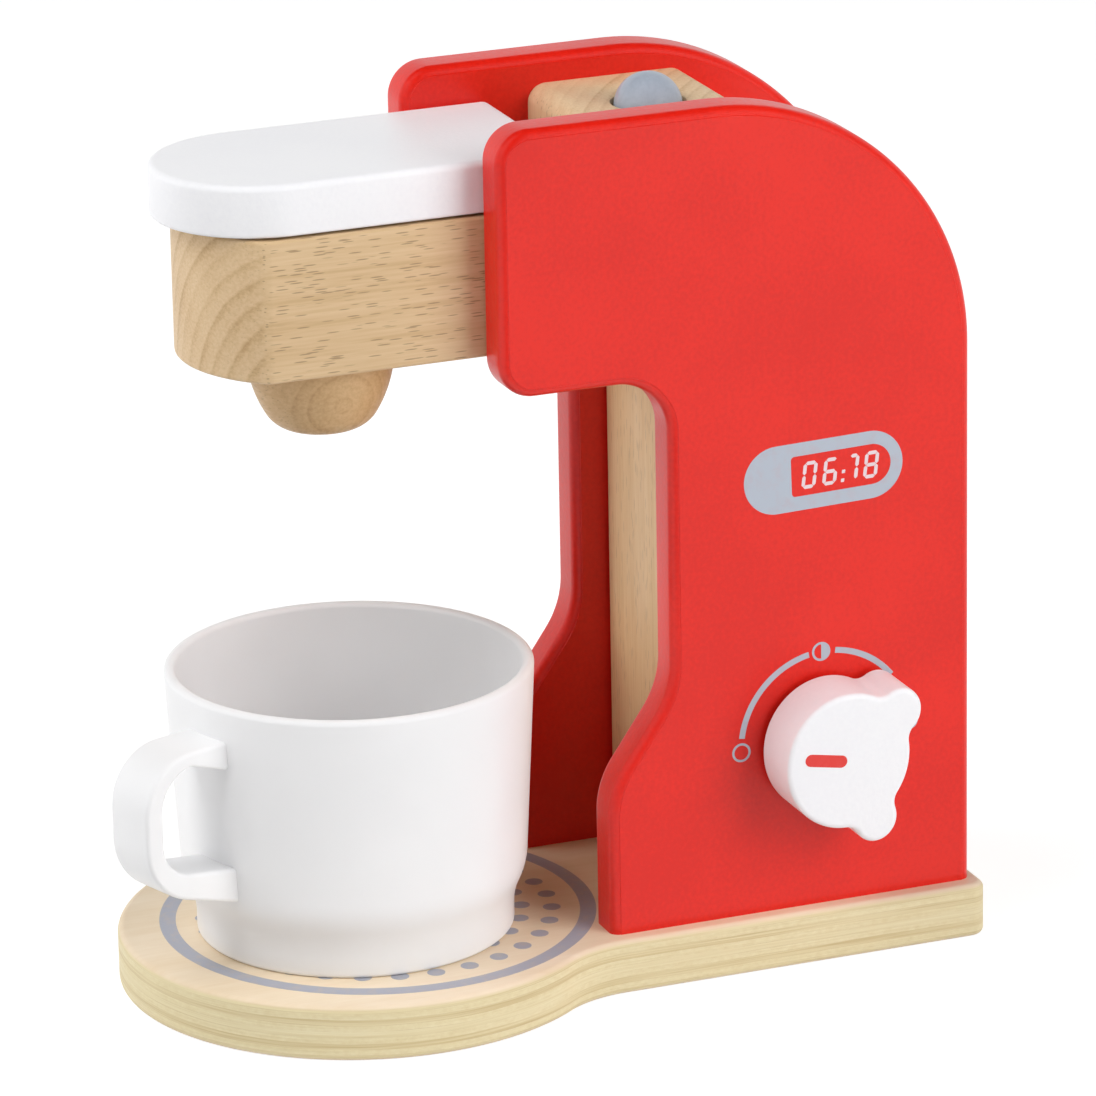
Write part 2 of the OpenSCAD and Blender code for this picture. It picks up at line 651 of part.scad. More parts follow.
// Outside of the cup from the middle of its underside up to the lip, as radius and height. The wall
// turns in to the foot through two bends of the same radius.
shoulder_in = cup_waist_r - cup_foot_r;
shoulder_h = cup_shoulder_z - cup_foot_h;
shoulder_turn = 2 * atan(shoulder_in / shoulder_h);
shoulder_r = (pow(shoulder_in, 2) + pow(shoulder_h, 2)) / (4 * shoulder_in);
function cup_outside() = concat(
    [[0, cup_recess], [cup_foot_r - 2 * cup_wall, cup_recess], [cup_foot_r - 1.6 * cup_wall, 0],
     [cup_foot_r - 0.5, 0], [cup_foot_r, 0.5]],
    open(arc([cup_foot_r + shoulder_r, cup_foot_h], shoulder_r, 180, 180 - shoulder_turn, 8)),
    arc([cup_waist_r - shoulder_r, cup_shoulder_z], shoulder_r, -shoulder_turn, 0, 8),
    arc([cup_rim_r - cup_wall / 2, cup_h - cup_wall / 2], cup_wall / 2, 0, 90, 5));

// inside of the cup from the lip down to the middle of its floor
function cup_inside() = concat(
    arc([cup_rim_r - cup_wall / 2, cup_h - cup_wall / 2], cup_wall / 2, 90, 180, 5),
    arc([cup_waist_r - cup_wall - cup_bowl_r, cup_floor + cup_bowl_r], cup_bowl_r, 0, -90, 12),
    [[0, cup_floor]]);

// The handle is a C-shaped strap, thicker at its two roots. Its outer and inner edges are drawn in
// the plane through the cup's axis, X being the distance from that axis; the values are those of
// its upper and lower half.
strap_bend = [12, 14];      // radii of the outer bends
strap_hollow = [9, 8];      // radii of the inner bends
strap_root = [6.6, 7.8];    // thicknesses at the cup's wall
strap_rise = 3.6;           // how far the strap's lower edge climbs before it bends
strap_lean = 15;            // and how steeply
strap_grip = 1.5;           // how far the roots are let into the wall
strap_round = 0.9;
strap_low_z = handle_foot + strap_bend[1] + strap_rise;
wall_slope = (cup_rim_r - cup_waist_r) / (cup_h - cup_shoulder_z);
function wall_r(z) = cup_waist_r + wall_slope * (z - cup_shoulder_z);
function root(z) = [wall_r(z) - strap_grip, z];
function strap_outline(d) =
    let (outer_x = handle_reach, inner_x = handle_reach - handle_t)
    concat(
        [root(handle_foot + d)],
        arc([outer_x - strap_bend[1], strap_low_z], strap_bend[1] - d, strap_lean - 90, 0, 8),
        arc([outer_x - strap_bend[0], handle_top - strap_bend[0]], strap_bend[0] - d, 0, 90, 8),
        [root(handle_top - d), root(handle_top - strap_root[0] + d)],
        arc([inner_x - strap_hollow[0], handle_top - strap_bend[0]], strap_hollow[0] + d, 80, 0, 8),
        arc([inner_x - strap_hollow[1], strap_low_z], strap_hollow[1] + d, 0, strap_lean - 90, 8),
        [root(handle_foot + strap_root[1] - d)]);

module cup_handle() {
    rotate(handle_turn - 90) translate([0, handle_w / 2, 0]) rotate([90, 0, 0])
        rounded_plate(function (d) strap_outline(d), handle_w, strap_round, strap_round, 3);
}

module cup() {
    color("white") translate([cup_side, fwd(cup_reach), base_t]) difference() {
        union() {
            rotate_extrude() polygon(concat(cup_outside(), [[0, cup_h]]));
            cup_handle();
        }
        rotate_extrude()
            polygon(concat(cup_inside(), [[0, cup_h + eps], [cup_rim_r - cup_wall / 2, cup_h + eps]]));
    }
}

base_board();
left_side_panel();
right_side_panel();
brew_head();
nozzle();
lid();
lid_hinge_pin();
button_block();
button_ball();
button_stem();
button_spring();
button_collar();
collar_screw();
back_post();
knob();
knob_axle();
axle_keeper();
head_dowels();
block_dowels();
post_dowels();
panel_screws();
post_screws();
cup();
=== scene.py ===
"""Toy coffee maker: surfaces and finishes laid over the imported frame.

Lengths are written in millimetres in the part's own frame, with +Z up, the front towards -Y and
the origin under the middle of the base. They become metres when a mesh is made.
"""

from __future__ import annotations

import logging
import math
from dataclasses import dataclass
from enum import Enum
from typing import Callable, Iterable, Sequence

import bpy
import numpy as np
from mathutils import Matrix, Vector
from numpy.typing import NDArray

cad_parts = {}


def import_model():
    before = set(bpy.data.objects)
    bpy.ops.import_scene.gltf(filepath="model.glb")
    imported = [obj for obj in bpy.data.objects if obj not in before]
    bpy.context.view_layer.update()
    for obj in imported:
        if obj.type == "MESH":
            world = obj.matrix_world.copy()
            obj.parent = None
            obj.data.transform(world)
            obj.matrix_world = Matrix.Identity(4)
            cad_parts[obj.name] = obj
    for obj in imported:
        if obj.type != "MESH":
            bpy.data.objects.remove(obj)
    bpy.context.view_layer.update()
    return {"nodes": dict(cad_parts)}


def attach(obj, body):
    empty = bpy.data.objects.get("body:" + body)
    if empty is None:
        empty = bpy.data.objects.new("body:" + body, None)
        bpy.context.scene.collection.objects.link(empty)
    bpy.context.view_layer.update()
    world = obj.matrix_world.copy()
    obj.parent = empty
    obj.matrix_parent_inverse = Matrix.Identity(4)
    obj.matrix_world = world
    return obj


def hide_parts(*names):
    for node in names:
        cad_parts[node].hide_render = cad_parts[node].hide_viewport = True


LOG = logging.getLogger("toy_coffee_maker")
Array = NDArray[np.float64]
Outline = Callable[[float], Array]
Colour = tuple[float, float, float]
Pair = tuple[float, float]
Socket = bpy.types.NodeSocket

MM = 0.001
TINY = 1e-9  # lengths in millimetres, and shares of a length, that count as nothing
SEAM = 0.05  # width of the flat band that keeps a face's shading apart from its rounded rim
INK = 0.04  # how far printed marks stand above what they are printed on
BACK_Y = 88.0  # the side panels' back edges; every reach is measured forward from here
BASE_T = 12.0  # thickness of the base, on which everything stands
CLEAR = 2.0  # how far cutters reach past what they cut
SPREAD = (0.3, 0.7)  # between these lie nearly all values of a soft noise


class Body(Enum):
    """The rigid bodies of the toy."""

    HOUSING = "housing"
    LID = "lid"
    BUTTON = "button"
    KNOB = "knob"
    CUP = "cup"


class Slot(Enum):
    """The record's material slot names; no piece in this script is given one, each takes its
    material straight from Finishes.
    """

    PLYWOOD = "plywood"
    RED_PAINT = "red_paint"
    BEECH = "beech"
    POST_WOOD = "post_wood"
    WHITE_PAINT = "white_paint"
    GREY_PAINT = "grey_paint"
    CUP_PLASTIC = "cup_plastic"


class Grain(Enum):
    """The frame axis that a piece of wood was sawn along."""

    FRONT_TO_BACK = "Y"
    UPRIGHT = "Z"
    ACROSS = "X"


def srgb(red: int, green: int, blue: int) -> Colour:
    """Turns display values from 0 to 255 into linear light.

    Args:
        red: display value of red.
        green: display value of green.
        blue: display value of blue.

    Returns:
        The three linear values.
    """

    def linear(value: int) -> float:
        """One channel's linear value."""
        share = value / 255
        return share / 12.92 if share <= 0.04045 else ((share + 0.055) / 1.055) ** 2.4

    return linear(red), linear(green), linear(blue)


def fwd(reach: float) -> float:
    """The Y of a distance ahead of the side panels' back edges."""
    return BACK_Y - reach


# ---------------------------------------------------------------------------------------------
# shapes: each is worked out on a grid of two parameters, as whole arrays
# ---------------------------------------------------------------------------------------------


@dataclass
class Shape:
    """Points in millimetres and the faces between them."""

    points: Array
    faces: list[list[int]]

    def placed(self, origin: Sequence[float], axes: Sequence[Sequence[float]]) -> Shape:
        """Moves the shape from its own u, v, w into the part's frame.

        Args:
            origin: where u = v = w = 0 comes to lie.
            axes: the directions of u, v and w, as three rows.

        Returns:
            The same faces over points origin + u * axes[0] + v * axes[1] + w * axes[2].
        """
        moved = np.asarray(origin, float) + self.points @ np.asarray(axes, float)
        return Shape(moved, self.faces)


FLAT = ((1, 0, 0), (0, 1, 0), (0, 0, 1))  # u, v, w along X, Y, Z
STANDING = ((0, 1, 0), (0, 0, 1), (1, 0, 0))  # u, v, w along Y, Z, X


def joined(shapes: Iterable[Shape]) -> Shape:
    """Puts several shapes into one, with their faces renumbered."""
    points: list[Array] = []
    faces: list[list[int]] = []
    count = 0
    for shape in shapes:
        points.append(shape.points)
        faces += [[corner + count for corner in face] for face in shape.faces]
        count += len(shape.points)
    return Shape(np.concatenate(points), faces)


def unit(angles: Array) -> Array:
    """The directions at these angles in radians."""
    return np.stack([np.cos(angles), np.sin(angles)], axis=1)


def arc(centre: Sequence[float], radius: float, start: float, stop: float, steps: int) -> Array:
    """Points of a circular arc: centre + radius * (cos, sin) of angles spread evenly.

    Args:
        centre: centre of the arc.
        radius: radius of the arc.
        start: first angle in degrees.
        stop: last angle in degrees.
        steps: number of steps between the two.

    Returns:
        An array of steps + 1 points.
    """
    angles = np.radians(np.linspace(start, stop, steps + 1))
    return np.asarray(centre, float) + radius * unit(angles)


def pieces_of(*parts: Array) -> Array:
    """Joins runs of points as they are, so that every inset of an outline has as many points."""
    return np.concatenate([np.atleast_2d(np.asarray(part, float)) for part in parts])


def polar(radius: float, angle: float) -> Array:
    """The point at that radius and angle in degrees."""
    return radius * np.array([math.cos(math.radians(angle)), math.sin(math.radians(angle))])


def lifted(outline: Array, height: float) -> Array:
    """The points of a flat outline at one height."""
    return np.column_stack([outline, np.full(len(outline), height)])


def rings(centre: Sequence[float], spokes: Array, section: Sequence[Sequence[float]]) -> Array:
    """Points on the same spokes round an upright axis, ring after ring.

    Args:
        centre: where the axis stands.
        spokes: the directions of the spokes.
        section: radius and height of each ring.

    Returns:
        The points of the first ring, then of the next, and so on.
    """
    section = np.asarray(section, float)
    flat = np.asarray(centre, float) + section[:, None, :1] * spokes
    heights = np.broadcast_to(section[:, None, 1:], (*flat.shape[:2], 1))
    return np.concatenate([flat, heights], axis=2).reshape(-1, 3)


def quads(rows: int, columns: int, closed: bool = True) -> list[list[int]]:
    """Faces of a grid of points, row after row.

    Args:
        rows: number of rows.
        columns: number of points in each row.
        closed: whether each row's last point joins its first.

    Returns:
        Quads that face along (row direction) x (step from row to row).
    """
    row = np.arange(rows - 1)[:, None] * columns
    column = np.arange(columns if closed else columns - 1)[None, :]
    after = (column + 1) % columns
    corners = [row + column, row + after, row + columns + after, row + columns + column]
    return np.stack(corners, axis=-1).reshape(-1, 4).tolist()


@dataclass(frozen=True)
class Rim:
    """Section of a rounded edge, from the face that it leaves to the side that it runs into.

    radius is its radius, crease the angle in degrees at which it leaves the face, and steps the
    number of steps round it. A rim cut a little too deep starts with a step down, over a run.
    """

    radius: float
    crease: float = 0.0
    steps: int = 10
    step: float = 0.0
    run: float = 0.08

    def section(self) -> tuple[Array, Array]:
        """Inset r * (1 - sin a) and rise step + r * (cos crease - cos a) for a up to 90.

        Returns:
            The insets from the outline, and the rises from the face.
        """
        angle = np.radians(np.linspace(self.crease, 90.0, self.steps + 1))
        turn = self.radius - self.step
        inset = turn * (1 - np.sin(angle))
        rise = self.step + turn * (math.cos(math.radians(self.crease)) - np.cos(angle))
        if self.step > 0:
            inset = np.concatenate([[inset[0] + 2 * self.run, inset[0] + self.run], inset])
            rise = np.concatenate([[0.0, self.step], rise])
        return inset, rise


def stacked(rows: Sequence[Array]) -> Shape:
    """Rows of points with quads between them, closed by a face on the first and on the last."""
    count = len(rows[0])
    top = (len(rows) - 1) * count
    faces = quads(len(rows), count) + [list(range(count))[::-1], list(range(top, top + count))]
    return Shape(np.concatenate(rows), faces)


def plate(outline: Outline, thickness: float, low: Rim, high: Rim) -> Shape:
    """A board from w = 0 to w = thickness whose edges are rounded.

    Each row of the grid is the outline at one inset, lifted to one height: out and up round the
    lower rim, then up and in round the upper one. The two faces close it.

    Args:
        outline: gives the anticlockwise outline in u, v for an inset.
        thickness: thickness of the board.
        low: rim of the face at w = 0.
        high: rim of the face at w = thickness.

    Returns:
        The closed board.
    """
    low_in, low_up = low.section()
    high_in, high_up = high.section()
    insets = np.concatenate([[low_in[0] + SEAM], low_in, high_in[::-1], [high_in[0] + SEAM]])
    heights = np.concatenate([[0.0], low_up, thickness - high_up[::-1], [thickness]])
    return stacked([lifted(ring, height) for ring, height in zip(map(outline, insets), heights)])


def slab(outline: Array, low: float, high: float) -> Shape:
    """A sharp-edged board: the outline at w = low and at w = high, closed by two faces."""
    return stacked([lifted(outline, low), lifted(outline, high)])


def frame_slab(outer: Array, inner: Array, low: float, high: float) -> Shape:
    """A board with a hole: four rings of points, up the outside, in, and down the inside.

    Args:
        outer: anticlockwise outline of the board.
        inner: outline of the hole, point for point beside outer.
        low: lower face.
        high: upper face.

    Returns:
        The closed ring-shaped board.
    """
    count = len(outer)
    rows = [lifted(*row) for row in ((outer, low), (outer, high), (inner, high), (inner, low))]
    faces = [[corner % (4 * count) for corner in face] for face in quads(5, count)]
    return Shape(np.concatenate(rows), faces)


def turned(profile: Array, segments: int = 128) -> Shape:
    """A turned piece: its profile of radius and height, carried round the w axis.

    The profile runs up the outside, so that the faces look outwards. A point on the axis becomes
    one pole.

    Args:
        profile: points of radius and height.
        segments: number of steps round the axis.

    Returns:
        The turned shape, closed where the profile starts and ends on the axis.
    """
    on_axis = profile[:, 0] < TINY
    body = profile[~on_axis]
    points = [rings((0, 0), unit(np.linspace(0, 2 * math.pi, segments, endpoint=False)), body)]
    faces = quads(len(body), segments)
    count = len(points[0])
    top = count - segments
    step = np.arange(segments)
    after = (step + 1) % segments
    for end, first, second in ((0, after, step), (-1, top + step, top + after)):
        if on_axis[end]:
            points.append(np.array([[0.0, 0.0, profile[end, 1]]]))
            faces += np.stack([np.full(segments, count), first, second], axis=1).tolist()
            count += 1
    return Shape(np.concatenate(points), faces)


def cross(first: Array, second: Array) -> Array:
    """The cross products of directions in a plane."""
    return first[..., 0] * second[..., 1] - first[..., 1] * second[..., 0]


def by_angle(outline: Array, centre: Sequence[float], angles: Array) -> Array:
    """Where rays from a centre meet a closed outline that bulges round it.

    Args:
        outline: the closed outline.
        centre: a point inside it.
        angles: directions of the rays, in radians, rising.

    Returns:
        One point of the outline for each ray.
    """
    start = outline - np.asarray(centre, float)
    edge = np.roll(start, -1, axis=0) - start
    ray = unit(angles)[:, None]
    across = cross(ray, edge)
    across = np.where(np.abs(across) < TINY, TINY, across)
    along_edge, along_ray = cross(start, ray) / across, cross(start, edge) / across
    hit = (along_edge >= -TINY) & (along_edge <= 1 + TINY) & (along_ray > 0)
    distance = np.where(hit, along_ray, np.inf).min(axis=1)
    return np.asarray(centre, float) + ray[:, 0] * distance[:, None]


def rounded_rectangle(low: Sequence[float], high: Sequence[float], radius: float,
                      steps: int = 10) -> Outline:
    """The outline of a rectangle with round corners, as a function of its inset.

    Args:
        low: lowest corner.
        high: highest corner.
        radius: radius of the corners.
        steps: number of steps round each corner.

    Returns:
        A function that gives the anticlockwise outline for an inset.
    """

    def outline(inset: float) -> Array:
        """The outline drawn in by one inset."""
        corners = ((high[0] - radius, high[1] - radius), (low[0] + radius, high[1] - radius),
                   (low[0] + radius, low[1] + radius), (high[0] - radius, low[1] + radius))
        return pieces_of(*(arc(corner, radius - inset, 90 * quarter, 90 * quarter + 90, steps)
                           for quarter, corner in enumerate(corners)))

    return outline


def stadium(start: Sequence[float], stop: Sequence[float], radius: float, steps: int = 16) -> Array:
    """A bar with round ends between two points.

    Args:
        start: centre of one end.
        stop: centre of the other.
        radius: half the bar's width.
        steps: number of steps round each end.

    Returns:
        The anticlockwise outline.
    """
    lean = math.degrees(math.atan2(stop[1] - start[1], stop[0] - start[0]))
    return pieces_of(
        arc(stop, radius, lean - 90, lean + 90, steps),
        arc(start, radius, lean + 90, lean + 270, steps),
    )


def disc(centre: Sequence[float], radius: float, steps: int = 40) -> Array:
    """A circle as an outline."""
    return arc(centre, radius, 0, 360, steps)[:-1]


def soft_mouth(radius: float, height: float, soft: float) -> list[Pair]:
    """Radius and height of the rings that ease a hole's edge in a level face."""
    return [(radius + soft, height), (radius + soft * 0.3, height - soft * 0.3),
            (radius, height - soft)]


def drilled(body: Shape, centre: Sequence[float], spokes: Array,
            section: Sequence[Sequence[float]]) -> Shape:
    """Adds the wall and the bottom of an upright hole to a body that is open at its mouth.

    Args:
        body: the body, with faces that already lead to the points that the wall starts with.
        centre: where the hole's axis stands.
        spokes: directions of the wall's points.
        section: radius and height of the wall's rings, from the mouth down.

    Returns:
        The closed body.
    """
    first, count = len(body.points), len(spokes)
    wall = [[first + corner for corner in face] for face in quads(len(section), count)]
    last = first + (len(section) - 1) * count
    faces = body.faces + wall + [list(range(last, last + count))]
    return Shape(np.concatenate([body.points, rings(centre, spokes, section)]), faces)


def added(name: str, data: bpy.types.ID) -> bpy.types.Object:
    """A new object in the scene."""
    made = bpy.data.objects.new(name, data)
    bpy.context.scene.collection.objects.link(made)
    return made


def cut_away(piece: bpy.types.Object, cutter: Shape) -> None:
    """Takes one shape out of a piece and keeps the result in the piece's mesh.

    Args:
        piece: the piece that is cut.
        cutter: the closed shape that is taken out.
    """
    tool = added("cutter", mesh_of("cutter", cutter))
    modifier = piece.modifiers.new("cut", "BOOLEAN")
    modifier.operation = "DIFFERENCE"
    modifier.solver = "EXACT"
    modifier.object = tool
    graph = bpy.context.evaluated_depsgraph_get()
    result = bpy.data.meshes.new_from_object(piece.evaluated_get(graph))
    spent = (piece.data, tool.data)
    piece.modifiers.clear()
    piece.data = result
    result.name = piece.name
    bpy.data.objects.remove(tool)
    for mesh in spent:
        bpy.data.meshes.remove(mesh)


def mesh_of(name: str, shape: Shape) -> bpy.types.Mesh:
    """Puts a shape into a mesh in metres, shaded smooth."""
    mesh = bpy.data.meshes.new(name)
    mesh.from_pydata((shape.points * MM).tolist(), [], shape.faces)
    mesh.validate()
    mesh.shade_smooth()
    return mesh


def make(name: str, shape: Shape, finish: bpy.types.Material, body: Body,
         replaces: Sequence[str] = (), sharp: float = 30.0,
         cutters: Sequence[Shape] = ()) -> bpy.types.Object:
    """Makes one piece of the toy, hangs it on its body and hides the frame's nodes that it stands
    for.

    Args:
        name: the piece's name.
        shape: its points and faces.
        finish: its material.
        body: the body that it moves with.
        replaces: nodes of the frame that it stands for.
        sharp: edges that turn more than this many degrees stay sharp.
        cutters: shapes that are taken out of it.

    Returns:
        The new object.
    """
    piece = added(name, mesh_of(name, shape))
    for cutter in cutters:
        cut_away(piece, cutter)
    piece.data.set_sharp_from_angle(angle=math.radians(sharp))
    piece.data.materials.clear()
    piece.data.materials.append(finish)
    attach(piece, body.value)
    if replaces:
        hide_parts(*replaces)
    LOG.info("%s: %d faces on %s", name, len(piece.data.polygons), body.value)
    return piece


# ---------------------------------------------------------------------------------------------
# finishes
# ---------------------------------------------------------------------------------------------


def emptied(owner: bpy.types.Material | bpy.types.World) -> bpy.types.NodeTree:
    """The node tree of a material or a world, with no nodes in it."""
    owner.use_nodes = True
    owner.node_tree.nodes.clear()
    return owner.node_tree


def lay(tree: bpy.types.NodeTree, kind: str, inputs: dict[str | int, object],
        **settings: object) -> bpy.types.Node:
    """Adds a node to a tree.

    Args:
        tree: the tree.
        kind: the node's type, without its ShaderNode prefix.
        inputs: a value, a colour or a socket for each named input.
        settings: the node's own properties.

    Returns:
        The node.
    """
    made = tree.nodes.new("ShaderNode" + kind)
    for key, value in settings.items():
        setattr(made, key, value)
    for key, value in inputs.items():
        target = made.inputs[key]
        if isinstance(value, bpy.types.NodeSocket):
            tree.links.new(value, target)
        else:
            target.default_value = (*value, 1.0) if target.type == "RGBA" else value
    return made


class Recipe:
    """Lays the nodes of one material and hands their sockets on."""

    def __init__(self, name: str, **settings: float | Colour) -> None:
        """Starts a material with one shader.

        Args:
            name: the material's name.
            settings: constants for the shader's own sockets, with _ for a blank in their names.
        """
        self.material = bpy.data.materials.new(name)
        self.tree = emptied(self.material)
        constants = {key.replace("_", " "): value for key, value in settings.items()}
        self.shader = self.node("BsdfPrincipled", constants)
        self.node("OutputMaterial", {"Surface": self.shader.outputs["BSDF"]})
        coordinates = self.node("TexCoord", {}).outputs
        self.place = coordinates["Object"]
        self.facing = coordinates["Normal"]

    def node(self, kind: str, inputs: dict[str | int, object],
             **settings: object) -> bpy.types.Node:
        """Adds a node to this material, as lay does."""
        return lay(self.tree, kind, inputs, **settings)

    def feed(self, name: str, socket: Socket) -> None:
        """Joins a socket to one of the shader's inputs."""
        self.tree.links.new(socket, self.shader.inputs[name])

    def math(self, operation: str, first: object, second: object = 0.0) -> Socket:
        """One sum on two numbers."""
        return self.node("Math", {0: first, 1: second}, operation=operation).outputs[0]

    def total(self, *terms: tuple[Socket, float]) -> Socket:
        """The sum of several numbers, each times its own share."""
        parts = [self.math("MULTIPLY", value, share) for value, share in terms]
        whole = parts[0]
        for part in parts[1:]:
            whole = self.math("ADD", whole, part)
        return whole

    def parts(self, vector: Socket) -> Sequence[Socket]:
        """The three numbers of a vector or colour."""
        return self.node("SeparateXYZ", {"Vector": vector}).outputs

    def random(self, value: Socket) -> Socket:
        """A random number between 0 and 1 for each value."""
        return self.node("TexWhiteNoise", {"W": value}, noise_dimensions="1D").outputs["Value"]

    def stretched(self, scale: float | Sequence[float], shift: Sequence[float] = (0, 0, 0),
                  source: Socket | None = None) -> Socket:
        """The object's own coordinates, in metres, times a scale on each axis."""
        inputs = {"Vector": source or self.place, "Location": shift,
                  "Scale": np.broadcast_to(scale, 3).tolist()}
        return self.node("Mapping", inputs).outputs[0]

    def noise(self, scale: float | Sequence[float], detail: float = 2.0, roughness: float = 0.5,
              shift: Sequence[float] = (0, 0, 0), source: Socket | None = None) -> Socket:
        """Soft noise between 0 and 1, with about as many waves to the metre as scale says.

        Args:
            scale: waves to the metre, one number or one for each axis.
            detail: number of finer octaves.
            roughness: how strong each octave is beside the one before.
            shift: moves the pattern, so that two of one scale differ.
            source: coordinates to use in place of the object's own.

        Returns:
            The noise.
        """
        inputs = {"Vector": self.stretched(scale, shift, source), "Scale": 1.0, "Detail": detail,
                  "Roughness": roughness}
        return self.node("TexNoise", inputs).outputs["Fac"]

    def range(self, value: Socket, low: float, high: float, to_low: float = 0.0,
              to_high: float = 1.0) -> Socket:
        """Carries a range of values smoothly over to another, and holds it outside."""
        inputs = {"Value": value, "From Min": low, "From Max": high,
                  "To Min": to_low, "To Max": to_high}
        return self.node("MapRange", inputs, interpolation_type="SMOOTHSTEP").outputs["Result"]

    def ramp(self, value: Socket, stops: Sequence[tuple[float, Colour]]) -> Socket:
        """A colour for each value, from stops of position and colour."""
        made = self.node("ValToRGB", {"Fac": value})
        band = made.color_ramp
        while len(band.elements) < len(stops):
            band.elements.new(1.0)
        for element, (position, colour) in zip(band.elements, stops):
            element.position = position
            element.color = (*colour, 1.0)
        return made.outputs["Color"]

    def mix(self, share: object, first: object, second: object) -> Socket:
        """Mixes two colours."""
        return self.node("Mix", {0: share, 6: first, 7: second}, data_type="RGBA",
                         clamp_factor=True).outputs[2]

    def bump(self, height: Socket, distance: float, below: Socket | None = None) -> Socket:
        """A bump of a real height in metres, over another bump if there is one."""
        inputs = {"Height": height, "Distance": distance, "Strength": 1.0}
        if below is not None:
            inputs["Normal"] = below
        return self.node("Bump", inputs).outputs["Normal"]


@dataclass(frozen=True)
class Paint:
    """Sprayed paint over wood: a fine orange peel, faint unevenness, and a satin gloss.

    colour and shade are the paint's lighter and darker tone, and gloss its roughness.
    """

    name: str
    colour: Colour
    shade: Colour
    gloss: float = 0.325
    peel: float = 0.00005

    def material(self) -> bpy.types.Material:
        """Builds the material."""
        recipe = Recipe(self.name, Roughness=self.gloss, IOR=1.45)
        wide, fine = recipe.noise(38, 3), recipe.noise(1100)
        tone = recipe.range(recipe.total((wide, 0.55), (fine, 0.45)), 0.35, 0.65)
        recipe.feed("Base Color", recipe.mix(tone, self.shade, self.colour))
        recipe.feed("Roughness", recipe.range(fine, *SPREAD, self.gloss - 0.03, self.gloss + 0.03))
        recipe.feed("Normal", recipe.bump(recipe.noise(800, roughness=0.55), self.peel))
        return recipe.material


@dataclass(frozen=True)
class SolidWood:
    """Sawn beech with growth rings, fibres and short dark rays, under a satin lacquer.

    The rings are circles round a line along the grain. centre is that line's place in the two
    other axes, ring the rings' width and sway how far they wander, all in millimetres. The rings
    show with the strength end_rings on end grain and side_rings along the grain.
    """

    name: str
    grain: Grain
    centre: Pair
    light: Colour
    middle: Colour
    dark: Colour
    ring: float = 3.7
    sway: float = 1.6
    end_rings: float = 0.55
    side_rings: float = 0.22
    rays: float = 0.62
    gloss: float = 0.45

    def material(self) -> bpy.types.Material:
        """Builds the material: every pattern is solid, so cut faces show its end grain."""
        recipe = Recipe(self.name, Roughness=self.gloss, IOR=1.47)
        order = {Grain.FRONT_TO_BACK: (0, 2, 1), Grain.UPRIGHT: (0, 1, 2),
                 Grain.ACROSS: (1, 2, 0)}[self.grain]
        axes = recipe.parts(recipe.place)
        u, v, along = (axes[index] for index in order)
        log = recipe.node("CombineXYZ", {0: u, 1: v, 2: along}).outputs[0]
        facing = recipe.math("ABSOLUTE", recipe.parts(recipe.facing)[order[2]])
        end = recipe.range(facing, 0.25, 0.85)
        turns = recipe.math("DIVIDE", self.from_pith(recipe, u, v, log), self.ring * MM)
        year = recipe.random(recipe.math("FLOOR", turns))
        levels = ((0.0, 0.35), (0.08, 0.0), (0.5, 0.25), (0.9, 1.0), (1.0, 0.35))
        late = recipe.ramp(recipe.math("FRACT", turns), [(at, (tone,) * 3) for at, tone in levels])
        late = recipe.math("MULTIPLY", late, recipe.range(year, 0.0, 1.0, 0.4, 1.0))
        late = recipe.math("MULTIPLY", late,
                           recipe.range(end, 0.0, 1.0, self.side_rings, self.end_rings))
        fibre = recipe.noise((1500, 1500, 55), 3, 0.6, source=log)
        cloud = recipe.noise((70, 70, 14), shift=(5, 2, 1), source=log)
        tone = recipe.total((late, 1.0), (recipe.range(fibre, *SPREAD), 0.3),
                            (recipe.range(cloud, *SPREAD), 0.25))
        base = recipe.ramp(tone, [(0.0, self.light), (0.5, self.middle), (1.0, self.dark)])
        field = recipe.stretched((2000, 2000, 185), source=log)
        cells = recipe.node("TexVoronoi", {"Vector": field, "Scale": 1.0}).outputs
        ray = recipe.math("MULTIPLY", recipe.range(cells["Distance"], 0.20, 0.32, 1.0, 0.0),
                          recipe.range(recipe.parts(cells["Color"])[0], 0.40, 0.54))
        ray = recipe.math("MULTIPLY", ray, recipe.range(end, 0.0, 1.0, self.rays, self.rays * 0.25))
        recipe.feed("Base Color", recipe.mix(ray, base, tuple(0.5 * value for value in self.dark)))
        recipe.feed("Roughness",
                    recipe.range(fibre, *SPREAD, self.gloss - 0.05, self.gloss + 0.07))
        recipe.feed("Normal", recipe.bump(recipe.math("SUBTRACT", fibre, ray), 0.000015))
        return recipe.material

    def from_pith(self, recipe: Recipe, u: Socket, v: Socket, log: Socket) -> Socket:
        """Distance from the line that the rings go round, with a slow sway and a fine ripple."""
        off_u, off_v = (recipe.math("SUBTRACT", axis, at * MM)
                        for axis, at in zip((u, v), self.centre))
        squares = recipe.math("ADD", recipe.math("MULTIPLY", off_u, off_u),
                              recipe.math("MULTIPLY", off_v, off_v))
        sway = recipe.noise((45, 45, 9), source=log)
        ripple = recipe.noise((260, 260, 22), shift=(3, 1, 7), source=log)
        return recipe.total((recipe.math("SQRT", squares), 1.0), (sway, self.sway * MM),
                            (ripple, 0.2 * self.sway * MM))


